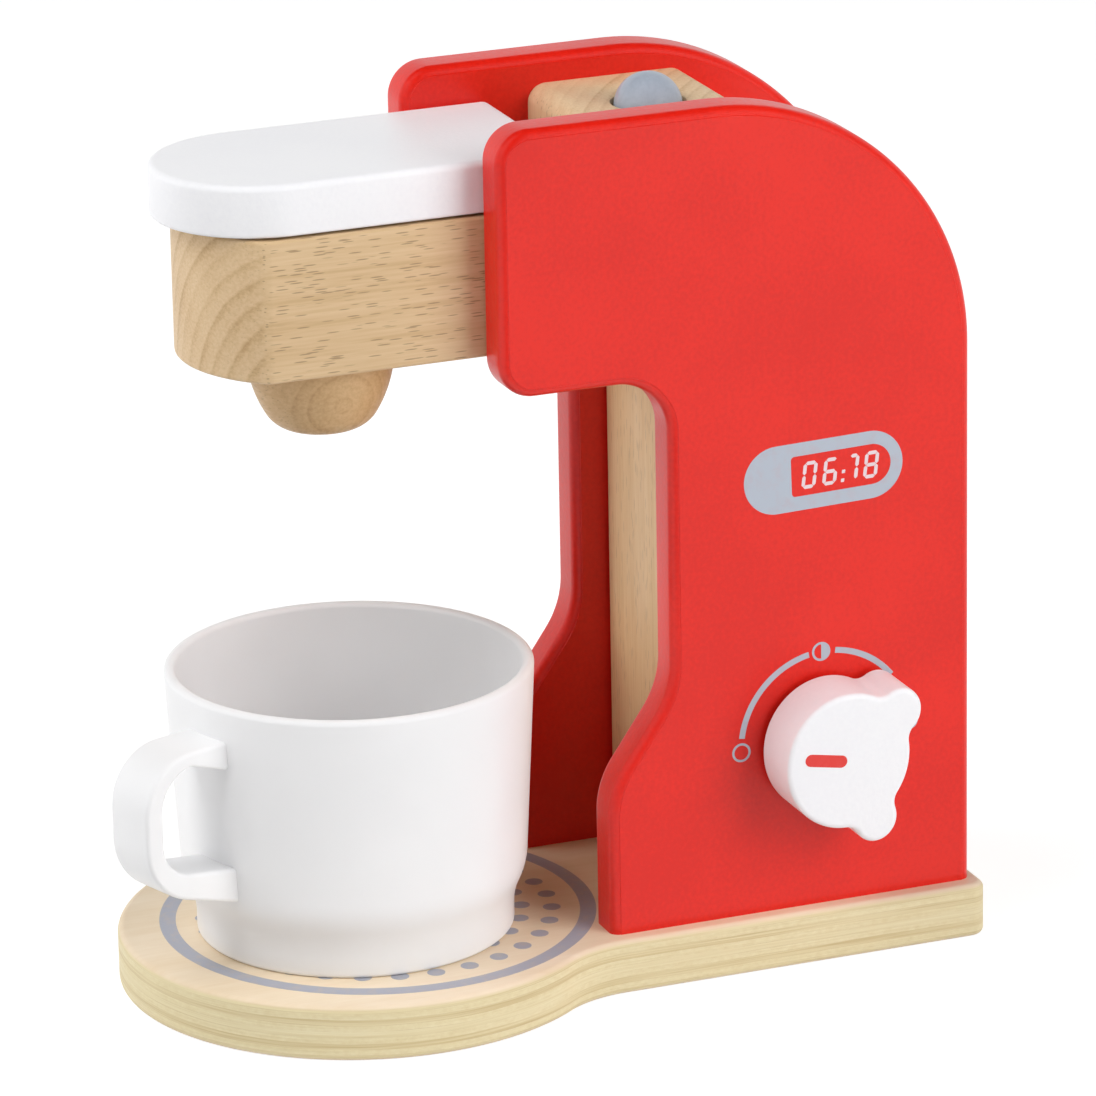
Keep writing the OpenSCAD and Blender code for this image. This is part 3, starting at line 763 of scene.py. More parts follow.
@dataclass(frozen=True)
class Plywood:
    """Birch plywood: plies that lie one way and the other in turn, with dark glue lines between.

    The pattern is solid. bottom and top are the board's faces, plies its number of layers, bow how
    far the layers wander up and down, and veneer how deep the face's figure shows at an edge: from
    fully to not at all. All lengths are in millimetres.
    """

    name: str
    bottom: float
    top: float
    plies: int = 9
    bow: float = 1.1
    veneer: Pair = (0.3, 1.0)
    face: Colour = srgb(240, 223, 198)
    face_dark: Colour = srgb(229, 207, 175)
    pale: Colour = srgb(233, 221, 183)
    mid: Colour = srgb(223, 207, 164)
    glue: Colour = srgb(197, 175, 128)
    gloss: float = 0.5

    def material(self) -> bpy.types.Material:
        """Builds the material."""
        recipe = Recipe(self.name, Roughness=self.gloss, IOR=1.47)
        height = recipe.parts(recipe.place)[2]
        wander = recipe.math("SUBTRACT", recipe.noise((28, 28, 60), 3), 0.5)
        level = recipe.math("ADD", height, recipe.math("MULTIPLY", wander, self.bow * MM))
        level = recipe.math("DIVIDE", recipe.math("SUBTRACT", level, self.bottom * MM),
                            (self.top - self.bottom) * MM / self.plies)
        layer = recipe.math("FLOOR", level)
        streak = recipe.noise((24, 24, 2100), 4, 0.65)
        stipple = recipe.noise((700, 700, 1300), 3, 0.6)
        lengthwise = recipe.total((streak, 0.85), (recipe.random(layer), 0.2))
        endwise = recipe.total((stipple, 0.45), (streak, 0.45))
        grain = recipe.mix(recipe.math("PINGPONG", layer, 1.0), lengthwise, endwise)
        edge = recipe.ramp(grain, [(0.30, self.pale), (0.56, self.mid), (0.80, self.glue)])
        line = recipe.math("MULTIPLY",
                           recipe.range(recipe.math("FRACT", level), 0.0, 0.10, 1.0, 0.0),
                           recipe.range(recipe.noise((60, 60, 300)), 0.35, 0.62))
        edge = recipe.mix(recipe.math("MULTIPLY", line, 0.7), edge, self.glue)
        fibre = recipe.noise((1100, 42, 1100), 3, 0.6)
        figure = recipe.noise((95, 14, 95), 3, 0.55, (2, 6, 4))
        fleck = recipe.noise((420, 160, 420), shift=(8, 3, 4))
        face = recipe.ramp(recipe.total((figure, 0.62), (fibre, 0.22), (fleck, 0.18)),
                           [(0.34, self.face), (0.66, self.face_dark)])
        outward = recipe.math("ABSOLUTE",
                              recipe.math("SUBTRACT", height, (self.bottom + self.top) / 2 * MM))
        half = (self.top - self.bottom) / 2
        on_face = recipe.range(outward, (half - self.veneer[1]) * MM, (half - self.veneer[0]) * MM)
        recipe.feed("Base Color", recipe.mix(on_face, edge, face))
        recipe.feed("Roughness",
                    recipe.range(streak, *SPREAD, self.gloss - 0.04, self.gloss + 0.1))
        sawn = recipe.math("MULTIPLY", streak, recipe.math("SUBTRACT", 1.0, on_face))
        recipe.feed("Normal", recipe.bump(fibre, 0.00001, recipe.bump(sawn, 0.00012)))
        return recipe.material


@dataclass(frozen=True)
class PrintInk:
    """Pad-printed ink: a thin even film, through which a little of the ground shows as mottle."""

    name: str
    colour: Colour
    ground: Colour
    show: float = 0.12

    def material(self) -> bpy.types.Material:
        """Builds the material."""
        recipe = Recipe(self.name, Roughness=0.45, IOR=1.45)
        mottle = recipe.range(recipe.noise(420, 3, 0.6), 0.45, 0.75)
        recipe.feed("Base Color", recipe.mix(recipe.math("MULTIPLY", mottle, self.show),
                                             self.colour, self.ground))
        recipe.feed("Normal", recipe.bump(recipe.noise(650), 0.00002))
        return recipe.material


@dataclass(frozen=True)
class Plastic:
    """Moulded plastic: smooth, with a very faint mottle and a soft gloss."""

    name: str
    colour: Colour
    shade: Colour
    gloss: float = 0.34

    def material(self) -> bpy.types.Material:
        """Builds the material."""
        recipe = Recipe(self.name, Roughness=self.gloss, IOR=1.49)
        cloud = recipe.noise(30)
        recipe.feed("Base Color",
                    recipe.mix(recipe.range(cloud, 0.35, 0.65), self.shade, self.colour))
        recipe.feed("Roughness",
                    recipe.range(cloud, *SPREAD, self.gloss - 0.03, self.gloss + 0.04))
        recipe.feed("Normal", recipe.bump(recipe.noise(260), 0.000012))
        return recipe.material


@dataclass(frozen=True)
class DrawnSteel:
    """Drawn steel wire and turned screws: fine lines along their length and a soft shine."""

    name: str
    colour: Colour = (0.58, 0.58, 0.60)
    gloss: Pair = (0.24, 0.38)

    def material(self) -> bpy.types.Material:
        """Builds the material."""
        recipe = Recipe(self.name, Metallic=1.0, Base_Color=self.colour)
        lines = recipe.noise((2500, 2500, 180))
        recipe.feed("Roughness", recipe.range(lines, *SPREAD, *self.gloss))
        recipe.feed("Normal", recipe.bump(lines, 0.000008))
        return recipe.material


class Finishes:
    """All finishes of the toy, each built once."""

    def __init__(self) -> None:
        """Builds the materials."""
        self.red = Paint("red_paint", srgb(229, 35, 21), srgb(217, 29, 17)).material()
        self.white = Paint("white_paint", srgb(244, 244, 246), srgb(241, 241, 244), 0.34).material()
        self.grey = Paint("grey_paint", srgb(168, 177, 190), srgb(160, 169, 182), 0.33).material()
        self.plywood = Plywood("birch_plywood", 0.0, BASE_T).material()
        beech = (srgb(222, 194, 155), srgb(209, 178, 136), srgb(184, 149, 104))
        self.head = SolidWood("beech_head", Grain.FRONT_TO_BACK, (46.0, 130.0), *beech).material()
        self.block = SolidWood("beech_block", Grain.UPRIGHT, (60.0, 120.0), srgb(232, 204, 165),
                               srgb(220, 188, 147), srgb(196, 160, 115), ring=3.2).material()
        self.nozzle = SolidWood("beech_nozzle", Grain.ACROSS, (-44.5, 130.0), srgb(212, 178, 132),
                                srgb(196, 159, 112), srgb(168, 130, 84), ring=2.6, sway=0.8,
                                end_rings=0.3, rays=0.35).material()
        # Painted light: the post's beech is painted lighter than the head's (248, 218, 174 against
        # 222, 194, 155). This lit copy of the wood stands in for light that the space between the
        # panels doesn't get.
        self.post = SolidWood("beech_post_painted_light", Grain.UPRIGHT, (-40.0, 90.0), srgb(248, 218, 174),
                              srgb(236, 202, 152),
                              srgb(210, 172, 122), ring=3.0, rays=0.4).material()
        self.dowel = SolidWood("dowel_wood", Grain.UPRIGHT, (30.0, 20.0), *beech,
                               rays=0.3).material()
        grey_ink = srgb(178, 186, 198)
        self.grey_ink = PrintInk("grey_ink_on_red", grey_ink, srgb(205, 120, 118)).material()
        self.light_ink = PrintInk("light_ink_on_red", srgb(232, 214, 218),
                                  srgb(226, 140, 138)).material()
        self.red_ink = PrintInk("red_ink_on_white", srgb(222, 62, 56),
                                srgb(232, 120, 116)).material()
        self.tray_ink = PrintInk("grey_ink_on_wood", srgb(166, 168, 180), srgb(196, 178, 158),
                                 0.35).material()
        self.plastic = Plastic("white_plastic", srgb(242, 242, 243), srgb(239, 239, 240)).material()
        self.steel = DrawnSteel("drawn_steel").material()


def dress(frame: dict[str, object], names: Sequence[str], finish: bpy.types.Material) -> None:
    """Gives nodes of the frame a finish of this scene.

    Args:
        names: the nodes.
        finish: their material.
    """
    for name in names:
        for place in frame["nodes"][name].material_slots:
            place.material = finish
        LOG.info("%s: kept from the frame, finish %s", name, finish.name)


# ---------------------------------------------------------------------------------------------
# sub-assemblies
# ---------------------------------------------------------------------------------------------


@dataclass
class Assembly:
    """A group of pieces, with the finishes that they share."""

    finishes: Finishes


@dataclass
class BaseBoard(Assembly):
    """Plywood base: round tray, straight tail, and the rings and dots printed on the tray."""

    tray_r: float = 52.0
    tray_reach: float = 126.5
    width: float = 73.4
    length: float = 181.0
    waist_r: float = 24.0
    corner_r: float = 3.5
    rim: Rim = Rim(1.5)
    screw_places: tuple[Pair, ...] = (
        (27.8, 19.5), (27.8, 64.0), (-27.8, 19.5), (-27.8, 64.0), (0.0, 41.5), (0.0, 64.0))
    sink_r: float = 3.5
    sink_depth: float = 0.5
    print_centre: Pair = (-0.3, -35.0)
    ring_r: float = 46.4
    ring_w: float = 3.45
    dot_r: float = 1.9
    dot_rings: tuple[tuple[float, int, float], ...] = (
        (36.95, 30, -1.0), (30.5, 25, 2.1), (23.5, 19, 0.0), (16.5, 13, 5.0), (9.5, 8, 0.0),
        (0.0, 1, 0.0))

    def outline(self, inset: float) -> Array:
        """Outline from above: tail corners, hollow waist, round tray, and the other waist."""
        half = self.width / 2
        tray_y = fwd(self.tray_reach)
        waist_y = tray_y + math.sqrt((self.tray_r + self.waist_r) ** 2 - (half + self.waist_r) ** 2)
        turn = math.degrees(math.atan2(waist_y - tray_y, half + self.waist_r))
        back = self.length / 2 - self.corner_r
        return pieces_of(
            arc((half - self.corner_r, back), self.corner_r - inset, 0, 90, 12),
            arc((self.corner_r - half, back), self.corner_r - inset, 90, 180, 12),
            arc((-half - self.waist_r, waist_y), self.waist_r + inset, 0, -turn, 24)[:-1],
            arc((0, tray_y), self.tray_r - inset, 180 - turn, 360 + turn, 160)[:-1],
            arc((half + self.waist_r, waist_y), self.waist_r + inset, 180 + turn, 180, 24),
        )

    def dots(self) -> list[Shape]:
        """Rings of dots, from each ring's radius, its number of dots and the first one's angle."""
        middle = np.asarray(self.print_centre)
        places = [middle + polar(radius, angle) for radius, count, first in self.dot_rings
                  for angle in first + np.arange(count) * 360.0 / count]
        return [slab(disc(place, self.dot_r, 24), 0, INK) for place in places]

    def build(self) -> None:
        """Makes the board, with its screws' countersinks, and the print on its tray."""
        board = plate(self.outline, BASE_T, self.rim, self.rim)
        sinks = [slab(disc(place, self.sink_r, 48), -CLEAR / 2, self.sink_depth)
                 for place in self.screw_places]
        make("base_plywood", board, self.finishes.plywood, Body.HOUSING,
             ["base_board"], cutters=[joined(sinks)])
        ring = frame_slab(disc(self.print_centre, self.ring_r, 180),
                          disc(self.print_centre, self.ring_r - self.ring_w, 180), 0, INK)
        marks = joined([ring, *self.dots()]).placed((0, 0, BASE_T), FLAT)
        make("tray_print", marks, self.finishes.tray_ink, Body.HOUSING)


@dataclass
class SidePanels(Assembly):
    """The two red panels: arm, S-shaped neck and foot, with every edge rounded over."""

    inner_x: float = 22.8
    thickness: float = 10.0
    height: float = 189.0
    arm_reach: float = 105.0
    arm_depth: float = 56.6
    neck_reach: float = 68.1
    foot_reach: float = 82.5
    foot_h: float = 25.3
    back_r: float = 57.0
    arm_corner_r: float = 7.5
    armpit_r: float = 11.3
    swell_r: float = 20.0
    swell_angle: float = 35.0
    rim: Rim = Rim(2.2, 8.0, 12, 0.14)
    sharp: float = 9.0

    def outline(self, inset: float) -> Array:
        """Outline in Y, Z; the bottom edge stays on the base however far the rest draws in."""
        turn = self.swell_angle
        lean = math.radians(turn)
        swell = self.foot_reach - self.neck_reach
        straight = (swell - 2 * self.swell_r * (1 - math.cos(lean))) / math.sin(lean)
        low_z = BASE_T + self.foot_h
        high_z = low_z + 2 * self.swell_r * math.sin(lean) + straight * math.cos(lean)
        arm_z = self.height - self.arm_depth
        front = fwd(self.arm_reach) + self.arm_corner_r
        neck, foot = fwd(self.neck_reach), fwd(self.foot_reach)
        return pieces_of(
            [(foot + inset, BASE_T), (BACK_Y - inset, BASE_T)],
            arc((BACK_Y - self.back_r, self.height - self.back_r), self.back_r - inset, 0, 90, 60),
            arc((front, self.height - self.arm_corner_r), self.arm_corner_r - inset, 90, 180, 24),
            arc((front, arm_z + self.arm_corner_r), self.arm_corner_r - inset, 180, 270, 24),
            arc((neck - self.armpit_r, arm_z - self.armpit_r), self.armpit_r + inset, 90, 0, 24),
            arc((neck - self.swell_r, high_z), self.swell_r + inset, 0, -turn, 16),
            arc((foot + self.swell_r, low_z), self.swell_r - inset, 180 - turn, 180, 16),
        )

    def build(self) -> None:
        """Makes both panels."""
        panel = plate(self.outline, self.thickness, self.rim, self.rim)
        places = (("red_panel_left", "left_side_panel", -self.inner_x - self.thickness),
                  ("red_panel_right", "right_side_panel", self.inner_x))
        for name, node, low_x in places:
            make(name, panel.placed((low_x, 0, 0), STANDING), self.finishes.red, Body.HOUSING,
                 [node], sharp=self.sharp)


# the bars of a digit, a on top, then clockwise, g in the middle and h a shortened a: the share of
# the digit's width and height at which each starts and stops
BARS = {"a": ((0, 1), (1, 1)), "b": ((1, 1), (1, 0.5)), "c": ((1, 0.5), (1, 0)),
        "d": ((1, 0), (0, 0)), "e": ((0, 0), (0, 0.5)), "f": ((0, 0.5), (0, 1)),
        "g": ((0, 0.5), (1, 0.5)), "h": ((0.3, 1), (1, 1))}


@dataclass
class PanelPrint(Assembly):
    """What is printed on the right-hand panel: the clock display and the knob's dial.

    digits are the bars of each digit and how far along it stands, and mark_angles where the dial
    says empty, half full and full.
    """

    face_x: float = 32.8
    pill: tuple[float, float, float, float] = (36.3, 72.3, 100.5, 115.3)
    tilt: float = 1.6
    window: tuple[float, float, float, float] = (47.0, 69.6, 103.6, 112.4)
    window_corner: float = 0.8
    digits: tuple[tuple[str, float], ...] = (("abcdef", 0.0), ("acdefg", 4.7), ("hbc", 9.5),
                                             ("abcdefg", 14.0))
    digits_at: Pair = (49.1, 105.0)
    digit_w: float = 3.2
    digit_h: float = 5.9
    stroke: float = 0.78
    gap: float = 0.06
    slant: float = 8.5
    colon: tuple[Pair, ...] = ((9.0, 0.15), (9.0, 2.05))
    colon_side: float = 0.75
    colon_corner: float = 0.12
    dial_centre: Pair = (54.4, 49.3)
    dial_r: float = 19.25
    dial_arcs: tuple[Pair, ...] = ((172.8, 101.0), (83.0, 38.0))
    mark_angles: tuple[float, float, float] = (182.0, 92.6, 2.6)
    arc_w: float = 1.3
    circle_r: float = 2.1
    circle_w: float = 0.5

    def on_panel(self, shapes: Iterable[Shape]) -> Shape:
        """Lays flat shapes in Y, Z on the panel's outer face."""
        return joined(shapes).placed((self.face_x, 0, 0), STANDING)

    def tilted(self, outline: Array) -> Array:
        """Turns a part of the display by its tilt, round the middle of its grey field."""
        middle = np.array([self.pill[0] + self.pill[1], self.pill[2] + self.pill[3]]) / 2
        turn = math.radians(self.tilt)
        rows = np.array([[math.cos(turn), math.sin(turn)], [-math.sin(turn), math.cos(turn)]])
        return middle + (outline - middle) @ rows

    def window_outline(self) -> Array:
        """The clock's window: two small corners in front, and a half-round end behind."""
        low_y, high_y, low_z, high_z = self.window
        end = (high_z - low_z) / 2
        corner = self.window_corner
        return pieces_of(
            arc((high_y - end, low_z + end), end, -90, 90, 32),
            arc((low_y + corner, high_z - corner), corner, 90, 180, 8),
            arc((low_y + corner, low_z + corner), corner, 180, 270, 8),
        )

    def display(self) -> Shape:
        """The grey field round the window: two outlines met by the same rays."""
        low_y, high_y, low_z, high_z = self.pill
        end = (high_z - low_z) / 2
        outer = stadium((low_y + end, low_z + end), (high_y - end, low_z + end), end, 48)
        inner = self.window_outline()
        centre = inner.mean(axis=0)
        angles = np.unique(np.concatenate([
            np.arctan2(*(ring - centre).T[::-1]) % (2 * math.pi)
            for ring in (outer, inner)]).round(6))
        outer, inner = by_angle(outer, centre, angles), by_angle(inner, centre, angles)
        return frame_slab(self.tilted(outer), self.tilted(inner), 0, INK)

    def bar(self, start: Array, stop: Array) -> Array:
        """One bar of a digit: a straight stroke with pointed ends, cut back by the gap."""
        along = (stop - start) / np.linalg.norm(stop - start)
        aside = np.array([-along[1], along[0]]) * self.stroke / 2
        tip = along * self.stroke / 2
        low, high = start + along * self.gap, stop - along * self.gap
        return np.array([low, low + tip - aside, high - tip - aside, high, high - tip + aside,
                         low + tip + aside])

    def mark(self, outline: Array, left: float = 0.0) -> Shape:
        """Makes a flat shape of an outline, leaning back and always anticlockwise.

        Args:
            outline: the outline, from the lower left corner of its digit.
            left: how far along the digits' base line that corner stands.

        Returns:
            The flat shape.
        """
        outline = outline + self.stroke / 2
        outline[:, 0] += outline[:, 1] * math.tan(math.radians(self.slant))
        area = cross(outline, np.roll(outline, -1, axis=0)).sum()
        outline = outline if area > 0 else outline[::-1]
        return slab(self.tilted(outline + np.add(self.digits_at, (left, 0.0))), 0, INK)

    def clock(self) -> Shape:
        """The time: four digits and a colon."""
        size = np.array([self.digit_w, self.digit_h]) - self.stroke
        shapes = [self.mark(self.bar(*(np.array(BARS[letter], float) * size)), left)
                  for bars, left in self.digits for letter in bars]
        for low in self.colon:
            square = rounded_rectangle(low, np.add(low, self.colon_side), self.colon_corner, 3)(0.0)
            shapes.append(self.mark(square - self.stroke / 2))
        return self.on_panel(shapes)

    def dial(self) -> Shape:
        """Two arcs round the knob and three marks: empty, half full, full."""
        centre = np.asarray(self.dial_centre)
        shapes = []
        for start, stop in self.dial_arcs:
            outer = arc(centre, self.dial_r + self.arc_w / 2, stop, start, 60)
            inner = arc(centre, self.dial_r - self.arc_w / 2, start, stop, 60)
            shapes.append(slab(pieces_of(outer, inner), 0, INK))
        empty, half, full = (centre + polar(self.dial_r, angle) for angle in self.mark_angles)
        inside, overlap, lower = self.circle_r - self.circle_w, 0.02, 0.9 * INK
        shapes += [frame_slab(disc(place, self.circle_r), disc(place, inside), 0, INK)
                   for place in (empty, half)]
        shapes.append(slab(arc(half, inside + overlap, -90, 90, 24), 0, lower))
        shapes.append(slab(disc(full, self.circle_r), 0, INK))
        return self.on_panel(shapes)

    def build(self) -> None:
        """Makes the three prints."""
        make("clock_display", self.on_panel([self.display()]), self.finishes.grey_ink, Body.HOUSING)
        make("clock_digits", self.clock(), self.finishes.light_ink, Body.HOUSING)
        make("dial_marks", self.dial(), self.finishes.grey_ink, Body.HOUSING)


@dataclass
class BrewHead(Assembly):
    """The brew head with its bowed front and pad chamber, and the nozzle under it."""

    half_w: float = 22.8
    reach: float = 162.5
    back_reach: float = 76.7
    bottom: float = 139.3
    height: float = 30.0
    bow_r: float = 29.0
    corner_r: float = 4.0
    rim: Rim = Rim(0.8, steps=6)
    nozzle_reach: float = 132.5
    chamber_r: float = 16.0
    chamber_depth: float = 8.0
    chamber_soft: float = 0.5
    nozzle_top_r: float = 15.5
    nozzle_bulge_r: float = 27.3
    nozzle_h: float = 17.4
    nozzle_round: float = 7.0
    nozzle_seat: float = 0.3

    def outline(self, inset: float) -> Array:
        """Outline from above: square back, small corner radii and a bowed front.

        Its straight sides are cut into short steps, which keeps the chamber's mouth round.
        """
        bow_y = fwd(self.reach) + self.bow_r
        side = self.half_w - self.corner_r
        corner_y = bow_y - math.sqrt((self.bow_r - self.corner_r) ** 2 - side ** 2)
        turn = math.degrees(math.atan2(bow_y - corner_y, side))
        back = fwd(self.back_reach)
        across = np.linspace(self.half_w - inset, inset - self.half_w, 16)
        along = np.linspace(corner_y, back, 28)[1:-1]
        flank = np.full(len(along), self.half_w - inset)
        return pieces_of(
            lifted(across[:, None], back),
            np.column_stack([-flank, along[::-1]]),
            arc((-side, corner_y), self.corner_r - inset, 180, 180 + turn, 12)[:-1],
            arc((0, bow_y), self.bow_r - inset, 180 + turn, 360 - turn, 48)[:-1],
            arc((side, corner_y), self.corner_r - inset, -turn, 0, 12),
            np.column_stack([flank, along]),
        )

    def block(self) -> Shape:
        """The head: a plate whose upper face is a ring round the chamber's mouth."""
        body = plate(self.outline, self.height, self.rim, self.rim)
        top = body.faces.pop()
        centre = np.array([0.0, fwd(self.nozzle_reach)])
        spokes = unit(np.arctan2(*(body.points[top][:, :2] - centre).T[::-1]))
        count, first = len(top), len(body.points)
        body.faces += [[top[c] if c < count else first + c - count for c in face]
                       for face in quads(2, count)]
        soft, floor = self.chamber_soft, self.height - self.chamber_depth
        wall = [*soft_mouth(self.chamber_r, self.height, soft), (self.chamber_r, floor + soft),
                (self.chamber_r - soft, floor)]
        return drilled(body, centre, spokes, wall)

    def nozzle(self) -> Shape:
        """Turned profile: flat end, a round turn, and a bulging flank square to the head."""
        drop = self.nozzle_h - self.nozzle_round
        reach = self.nozzle_bulge_r - self.nozzle_round
        flank = (self.nozzle_top_r - self.nozzle_bulge_r, 0.0)
        rim = (flank[0] + math.sqrt(reach ** 2 - drop ** 2), -drop)
        touch = -math.degrees(math.asin(drop / reach))
        profile = pieces_of([(0, -self.nozzle_h)], arc(rim, self.nozzle_round, -90, touch, 24)[:-1],
                            arc(flank, self.nozzle_bulge_r, touch, 0, 24),
                            [(self.nozzle_top_r, self.nozzle_seat), (0, self.nozzle_seat)])
        return turned(profile)

    def build(self) -> None:
        """Makes the head and the nozzle."""
        make("brew_head_beech", self.block().placed((0, 0, self.bottom), FLAT), self.finishes.head,
             Body.HOUSING, ["brew_head"])
        make("nozzle_beech", self.nozzle().placed((0, fwd(self.nozzle_reach), self.bottom), FLAT),
             self.finishes.nozzle, Body.HOUSING, ["nozzle"])


@dataclass
class Lid(Assembly):
    """The white lid: half-round in front, with a round heel at its hinge."""

    half_w: float = 22.5
    reach: float = 167.3
    rear_reach: float = 86.0
    bottom: float = 169.8
    thickness: float = 11.0
    low_rim: Rim = Rim(0.8, steps=6)
    high_rim: Rim = Rim(1.5)
    corner_r: float = 2.0
    heel_r: float = 5.7

    def outline(self, inset: float) -> Array:
        """Outline from above: two small corners behind and a half circle in front."""
        rear = fwd(self.rear_reach) - self.corner_r
        return pieces_of(
            arc((self.half_w - self.corner_r, rear), self.corner_r - inset, 0, 90, 12),
            arc((self.corner_r - self.half_w, rear), self.corner_r - inset, 90, 180, 12),
            arc((0, fwd(self.reach) + self.half_w), self.half_w - inset, 180, 360, 96),
        )

    def heel_cutter(self) -> Shape:
        """What is cut away below and behind the heel: a corner outside a circle round the pin."""
        y = fwd(self.rear_reach + self.heel_r)
        z = self.bottom + self.thickness / 2
        beyond = self.heel_r + 2 * CLEAR
        section = pieces_of(arc((y, z), self.heel_r, 0, -90, 30),
                            [(y, z - beyond), (y + beyond, z - beyond), (y + beyond, z)])
        return slab(section, -self.half_w - CLEAR, self.half_w + CLEAR).placed((0, 0, 0), STANDING)

    def build(self) -> None:
        """Makes the lid."""
        board = plate(self.outline, self.thickness, self.low_rim, self.high_rim)
        make("lid_white", board.placed((0, 0, self.bottom), FLAT), self.finishes.white, Body.LID,
             ["lid"], cutters=[self.heel_cutter()])


@dataclass
class ButtonUnit(Assembly):
    """The block behind the lid and the ball that is pressed into it."""

    half_w: float = 22.8
    reach: float = 76.7
    inset: float = 10.0
    bottom: float = 139.3
    top: float = 182.9
    slope_reach: float = 43.3
    slope_angle: float = 37.4
    edge_r: float = 4.0
    ball_reach: float = 58.7
    ball_d: float = 14.4
    ball_rise: float = 6.2
    hole_r: float = 7.9
    hole_soft: float = 0.35
    hole_depth: float = 23.6
    bore_r: float = 2.6
    bore_depth: float = 4.0

    def block(self) -> Shape:
        """The profile carried across in X, its flat top made of four faces round the hole."""
        front, back, slope_y = fwd(self.reach), BACK_Y - self.inset, fwd(self.slope_reach)
        edge, slope = self.edge_r, self.slope_angle
        drop = (back - slope_y) * math.tan(math.radians(slope))
        bend = edge * math.tan(math.radians(slope / 2))
        rear_top = arc((slope_y - bend, self.top - edge), edge, 90 - slope, 90, 12)
        front_top = arc((front + edge, self.top - edge), edge, 90, 180, 24)
        section = pieces_of([(front, self.bottom), (back, self.bottom), (back, self.top - drop)],
                            rear_top, front_top)
        body = slab(section, -self.half_w, self.half_w).placed((0, 0, 0), STANDING)
        count = len(section)
        left = 3 + len(rear_top) - 1
        corners = [left + 1, left + 1 + count, left + count, left]
        body.faces = [face for face in body.faces if sorted(face) != sorted(corners)]
        centre = np.array([0.0, fwd(self.ball_reach)])
        turns = np.degrees(np.arctan2(*(body.points[corners][:, :2] - centre).T[::-1])) % 360
        order = np.argsort(turns)
        corners, turns = [corners[index] for index in order], turns[order]
        steps = 24
        angles = np.concatenate([np.linspace(a, b if b > a else b + 360, steps, endpoint=False)
                                 for a, b in zip(turns, np.roll(turns, -1))])
        first = len(body.points)
        for index in range(4):
            rim = [first + (index * steps + step) % len(angles) for step in range(steps + 1)]
            body.faces.append([corners[index], corners[(index + 1) % 4], *rim[::-1]])
        floor = self.top - self.hole_depth
        wall = [*soft_mouth(self.hole_r, self.top, self.hole_soft), (self.hole_r, floor),
                (self.bore_r, floor), (self.bore_r, floor - self.bore_depth)]
        return drilled(body, centre, unit(np.radians(angles)), wall)

    def ball(self) -> Shape:
        """A sphere, as a half circle carried round."""
        profile = arc((0, 0), self.ball_d / 2, -90, 90, 64)
        profile[[0, -1], 0] = 0.0
        return turned(profile)

    def build(self) -> None:
        """Makes block and ball."""
        make("button_block_beech", self.block(), self.finishes.block, Body.HOUSING,
             ["button_block"])
        centre = (0, fwd(self.ball_reach), self.top + self.ball_rise - self.ball_d / 2)
        make("button_ball_grey", self.ball().placed(centre, FLAT), self.finishes.grey, Body.BUTTON,
             ["button_ball"])


@dataclass
class BackPost(Assembly):
    """The upright post, its long edges eased, with a fine joint at each panel."""

    half_w: float = 22.1
    reach: float = 60.5
    inset: float = 10.0
    top: float = 139.3
    edge: float = 0.9
    rim: Rim = Rim(0.3, steps=3)

    def build(self) -> None:
        """Makes the post."""
        outline = rounded_rectangle((-self.half_w, fwd(self.reach)),
                                    (self.half_w, BACK_Y - self.inset), self.edge)
        body = plate(outline, self.top - BASE_T, self.rim, self.rim)
        make("back_post_beech", body.placed((0, 0, BASE_T), FLAT), self.finishes.post, Body.HOUSING,
             ["back_post"])


